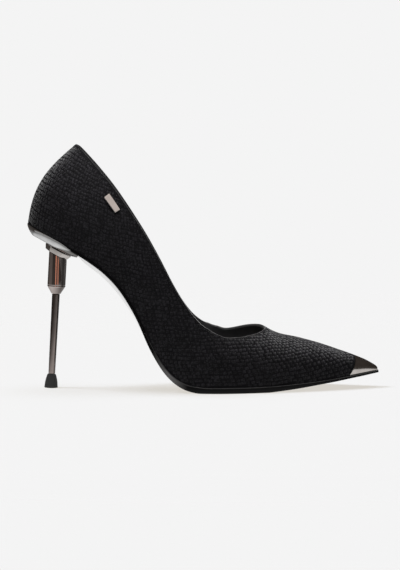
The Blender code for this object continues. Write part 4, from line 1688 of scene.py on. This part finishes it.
def floor_glow(tree, spot):
    """Glow of the floor as the shoe sees it: dim as light, and mirrored near the shoe alone."""
    parts = parts_of(tree, spot)
    middle, reach = FLOOR_SHOE
    past_end = calculate(tree, "ABSOLUTE", minus(tree, parts["X"], middle))
    past_end = calculate(tree, "MAXIMUM", minus(tree, past_end, reach), 0.0)
    from_shoe = combine(tree, "LENGTH", vector_of(tree, past_end, parts["Y"]), result="Value")
    dimmed = stretch(tree, from_shoe, 0.0, 1.0 - FLOOR_MIRRORED_FAR, *FLOOR_MIRRORED)
    kept = minus(tree, 1.0, times(tree, ray_is(tree, "Glossy"), dimmed))
    kept = minus(tree, kept, times(tree, ray_is(tree, "Diffuse"), 1.0 - FLOOR_FILL))
    return times(tree, kept, FLOOR_GLOW)


def build_stage():
    """Pale floor that fades into the pale surround at its rim."""
    shape = bmesh.new()
    bmesh.ops.create_circle(shape, cap_ends=True, segments=FLOOR_STEPS, radius=FLOOR_RADIUS)
    material = bpy.data.materials.new("pale_floor")
    material.use_nodes = True
    tree = material.node_tree
    tree.nodes.clear()
    spot = own_spot(tree)
    to_shoe = glowing(tree, PALE, floor_glow(tree, spot), FLOOR_MATT)
    shown = glowing(tree, FLOOR_SHOWN_GLOW, 1.0, FLOOR_SHOWN_MATT)
    chosen = join_shaders(tree, "ShaderNodeMixShader", ray_is(tree, "Camera"), to_shoe, shown)
    away = combine(tree, "LENGTH", spot, result="Value")
    fade = stretch(tree, away, 0.0, 1.0, FLOOR_CLEAR, FLOOR_RADIUS)
    clear = made(tree, "ShaderNodeBsdfTransparent")
    faded = join_shaders(tree, "ShaderNodeMixShader", fade, chosen, clear)
    tree_node(tree, "ShaderNodeOutputMaterial", Surface=faded)
    floor = add_piece("pale_floor", mesh_from(shape, "pale_floor"), material)
    return floor


def build_surround():
    """Pale to the camera, dim with a brighter lower half to the shoe's reflections."""
    world = bpy.data.worlds.new("studio")
    world.use_nodes = True
    tree = world.node_tree
    tree.nodes.clear()
    height = parts_of(tree, tree_node(tree, "ShaderNodeTexCoord").outputs["Generated"])["Z"]
    rise = stretch(tree, height, 0.0, 1.0, *ROOM_TURNS)
    room = made(tree, "ShaderNodeBackground", Color=blend_colours(tree, rise, ROOM_LOW, ROOM_HIGH))
    pale = made(tree, "ShaderNodeBackground", Color=(*PALE, 1.0))
    chosen = join_shaders(tree, "ShaderNodeMixShader", ray_is(tree, "Camera"), room, pale)
    tree_node(tree, "ShaderNodeOutputWorld", Surface=chosen)
    bpy.context.scene.world = world


def add_light(data, turn, pieces):
    """Put a light into the scene that lights the given pieces only."""
    light = bpy.data.objects.new(data.name, data)
    light.rotation_euler = turn.to_euler()
    bpy.context.scene.collection.objects.link(light)
    lit = bpy.data.collections.new("lit_by_" + data.name)
    for piece in pieces:
        lit.objects.link(piece)
    light.light_linking.receiver_collection = lit
    return light


def add_sky_lights(floor, pieces):
    """Soft lights that only matt surfaces answer to, two for the shoe and two for the floor."""
    for name, source, strength, angle, for_floor in SKY_LIGHTS:
        data = bpy.data.lights.new(name, "SUN")
        data.energy = strength
        data.angle = angle
        turn = Vector(source).to_track_quat("Z", "Y")
        sky = add_light(data, turn, [floor] if for_floor else pieces)
        sky.visible_glossy = False


def add_lamp(lamp, place, aim, *names):
    """Oblong lamp that lights and is mirrored in the named pieces only."""
    width, height = lamp.size
    data = bpy.data.lights.new(lamp.name, "AREA")
    data.shape = "RECTANGLE"
    data.size = width
    data.size_y = height
    data.energy = lamp.glow * math.pi * width * height
    data.color = lamp.colour
    turn = (Vector(aim) - Vector(place)).to_track_quat("-Z", "Y")
    light = add_light(data, turn, [bpy.data.objects[name] for name in names])
    light.location = place
    light.visible_camera = False


def add_barrel_lamps():
    """Lamps round the heel's barrel, level with one another."""
    aim = Vector((BARREL_MIDDLE[0], BARREL_MIDDLE[1], LAMP_HEIGHT))
    for turn, lamp in BARREL_LAMPS:
        angle = math.radians(turn)
        place = aim + Vector((math.sin(angle), -math.cos(angle), 0)) * LAMP_AWAY
        add_lamp(lamp, place, aim, "heel_barrel_metal")


def add_plate_lamp():
    """Lamp where the camera sees it mirrored in the side plate."""
    middle = last_point(PLATE_ROW, OUTER, PLATE_SHARE)
    normal = last_normal(PLATE_ROW, OUTER, PLATE_SHARE)
    view = (Vector(EYE) - middle).normalized()
    mirrored = normal * 2 * normal.dot(view) - view
    add_lamp(PLATE_LAMP, middle + mirrored * LAMP_AWAY, middle, "plain_side_plate")


def add_shoe_lamps():
    """Lamps for the waist of the sole, the throat's edge, the counter's top and the heel dish."""
    throat = last_point(THROAT_ROW, OUTER, 1.0)
    collar = last_point(0, OUTER, 1.0)
    leather = ("upper_shell", "embossed_scales_outer", "embossed_scales_inner")
    add_lamp(SOLE_LAMP, SOLE_LAMP_PLACE, Vector(SOLE_LAMP_PLACE) + UPRIGHT, "gloss_sole")
    add_lamp(EDGE_LAMP, EDGE_LAMP_PLACE, throat, "topline_edge")
    add_lamp(COUNTER_LAMP, COUNTER_LAMP_PLACE, collar, *leather)
    add_lamp(DISH_LAMP, DISH_LAMP_PLACE, BARREL_MIDDLE, "heel_dish")


def build_camera():
    eye = Vector(EYE)
    aim = Vector(AIM)
    data = bpy.data.cameras.new("photo_view")
    data.sensor_fit = "HORIZONTAL"
    data.sensor_width = SENSOR_WIDTH
    data.lens = SENSOR_WIDTH * (aim - eye).length / (PICTURE_WIDTH * PIXEL_SIZE * MM)
    camera = bpy.data.objects.new("photo_view", data)
    camera.location = eye
    camera.rotation_euler = (aim - eye).to_track_quat("-Z", "Y").to_euler()
    bpy.context.scene.collection.objects.link(camera)
    bpy.context.scene.camera = camera


# Whole scene

def build_shoe():
    finish = make_finishes()
    build_upper(finish)
    build_scales(finish)
    build_topline_edge(finish)
    build_stitches(finish)
    build_toe_cap(finish)
    build_outsole(finish)
    build_welt(finish)
    build_sock(finish)
    build_heel_cup(finish)
    build_heel_nut(finish)
    build_heel(finish)
    build_side_plate(finish)


build_camera()
build_shoe()
pale_floor = build_stage()
build_surround()
add_sky_lights(pale_floor, shoe_pieces)
add_barrel_lamps()
add_plate_lamp()
add_shoe_lamps()
bpy.context.scene.view_settings.view_transform = "Standard"
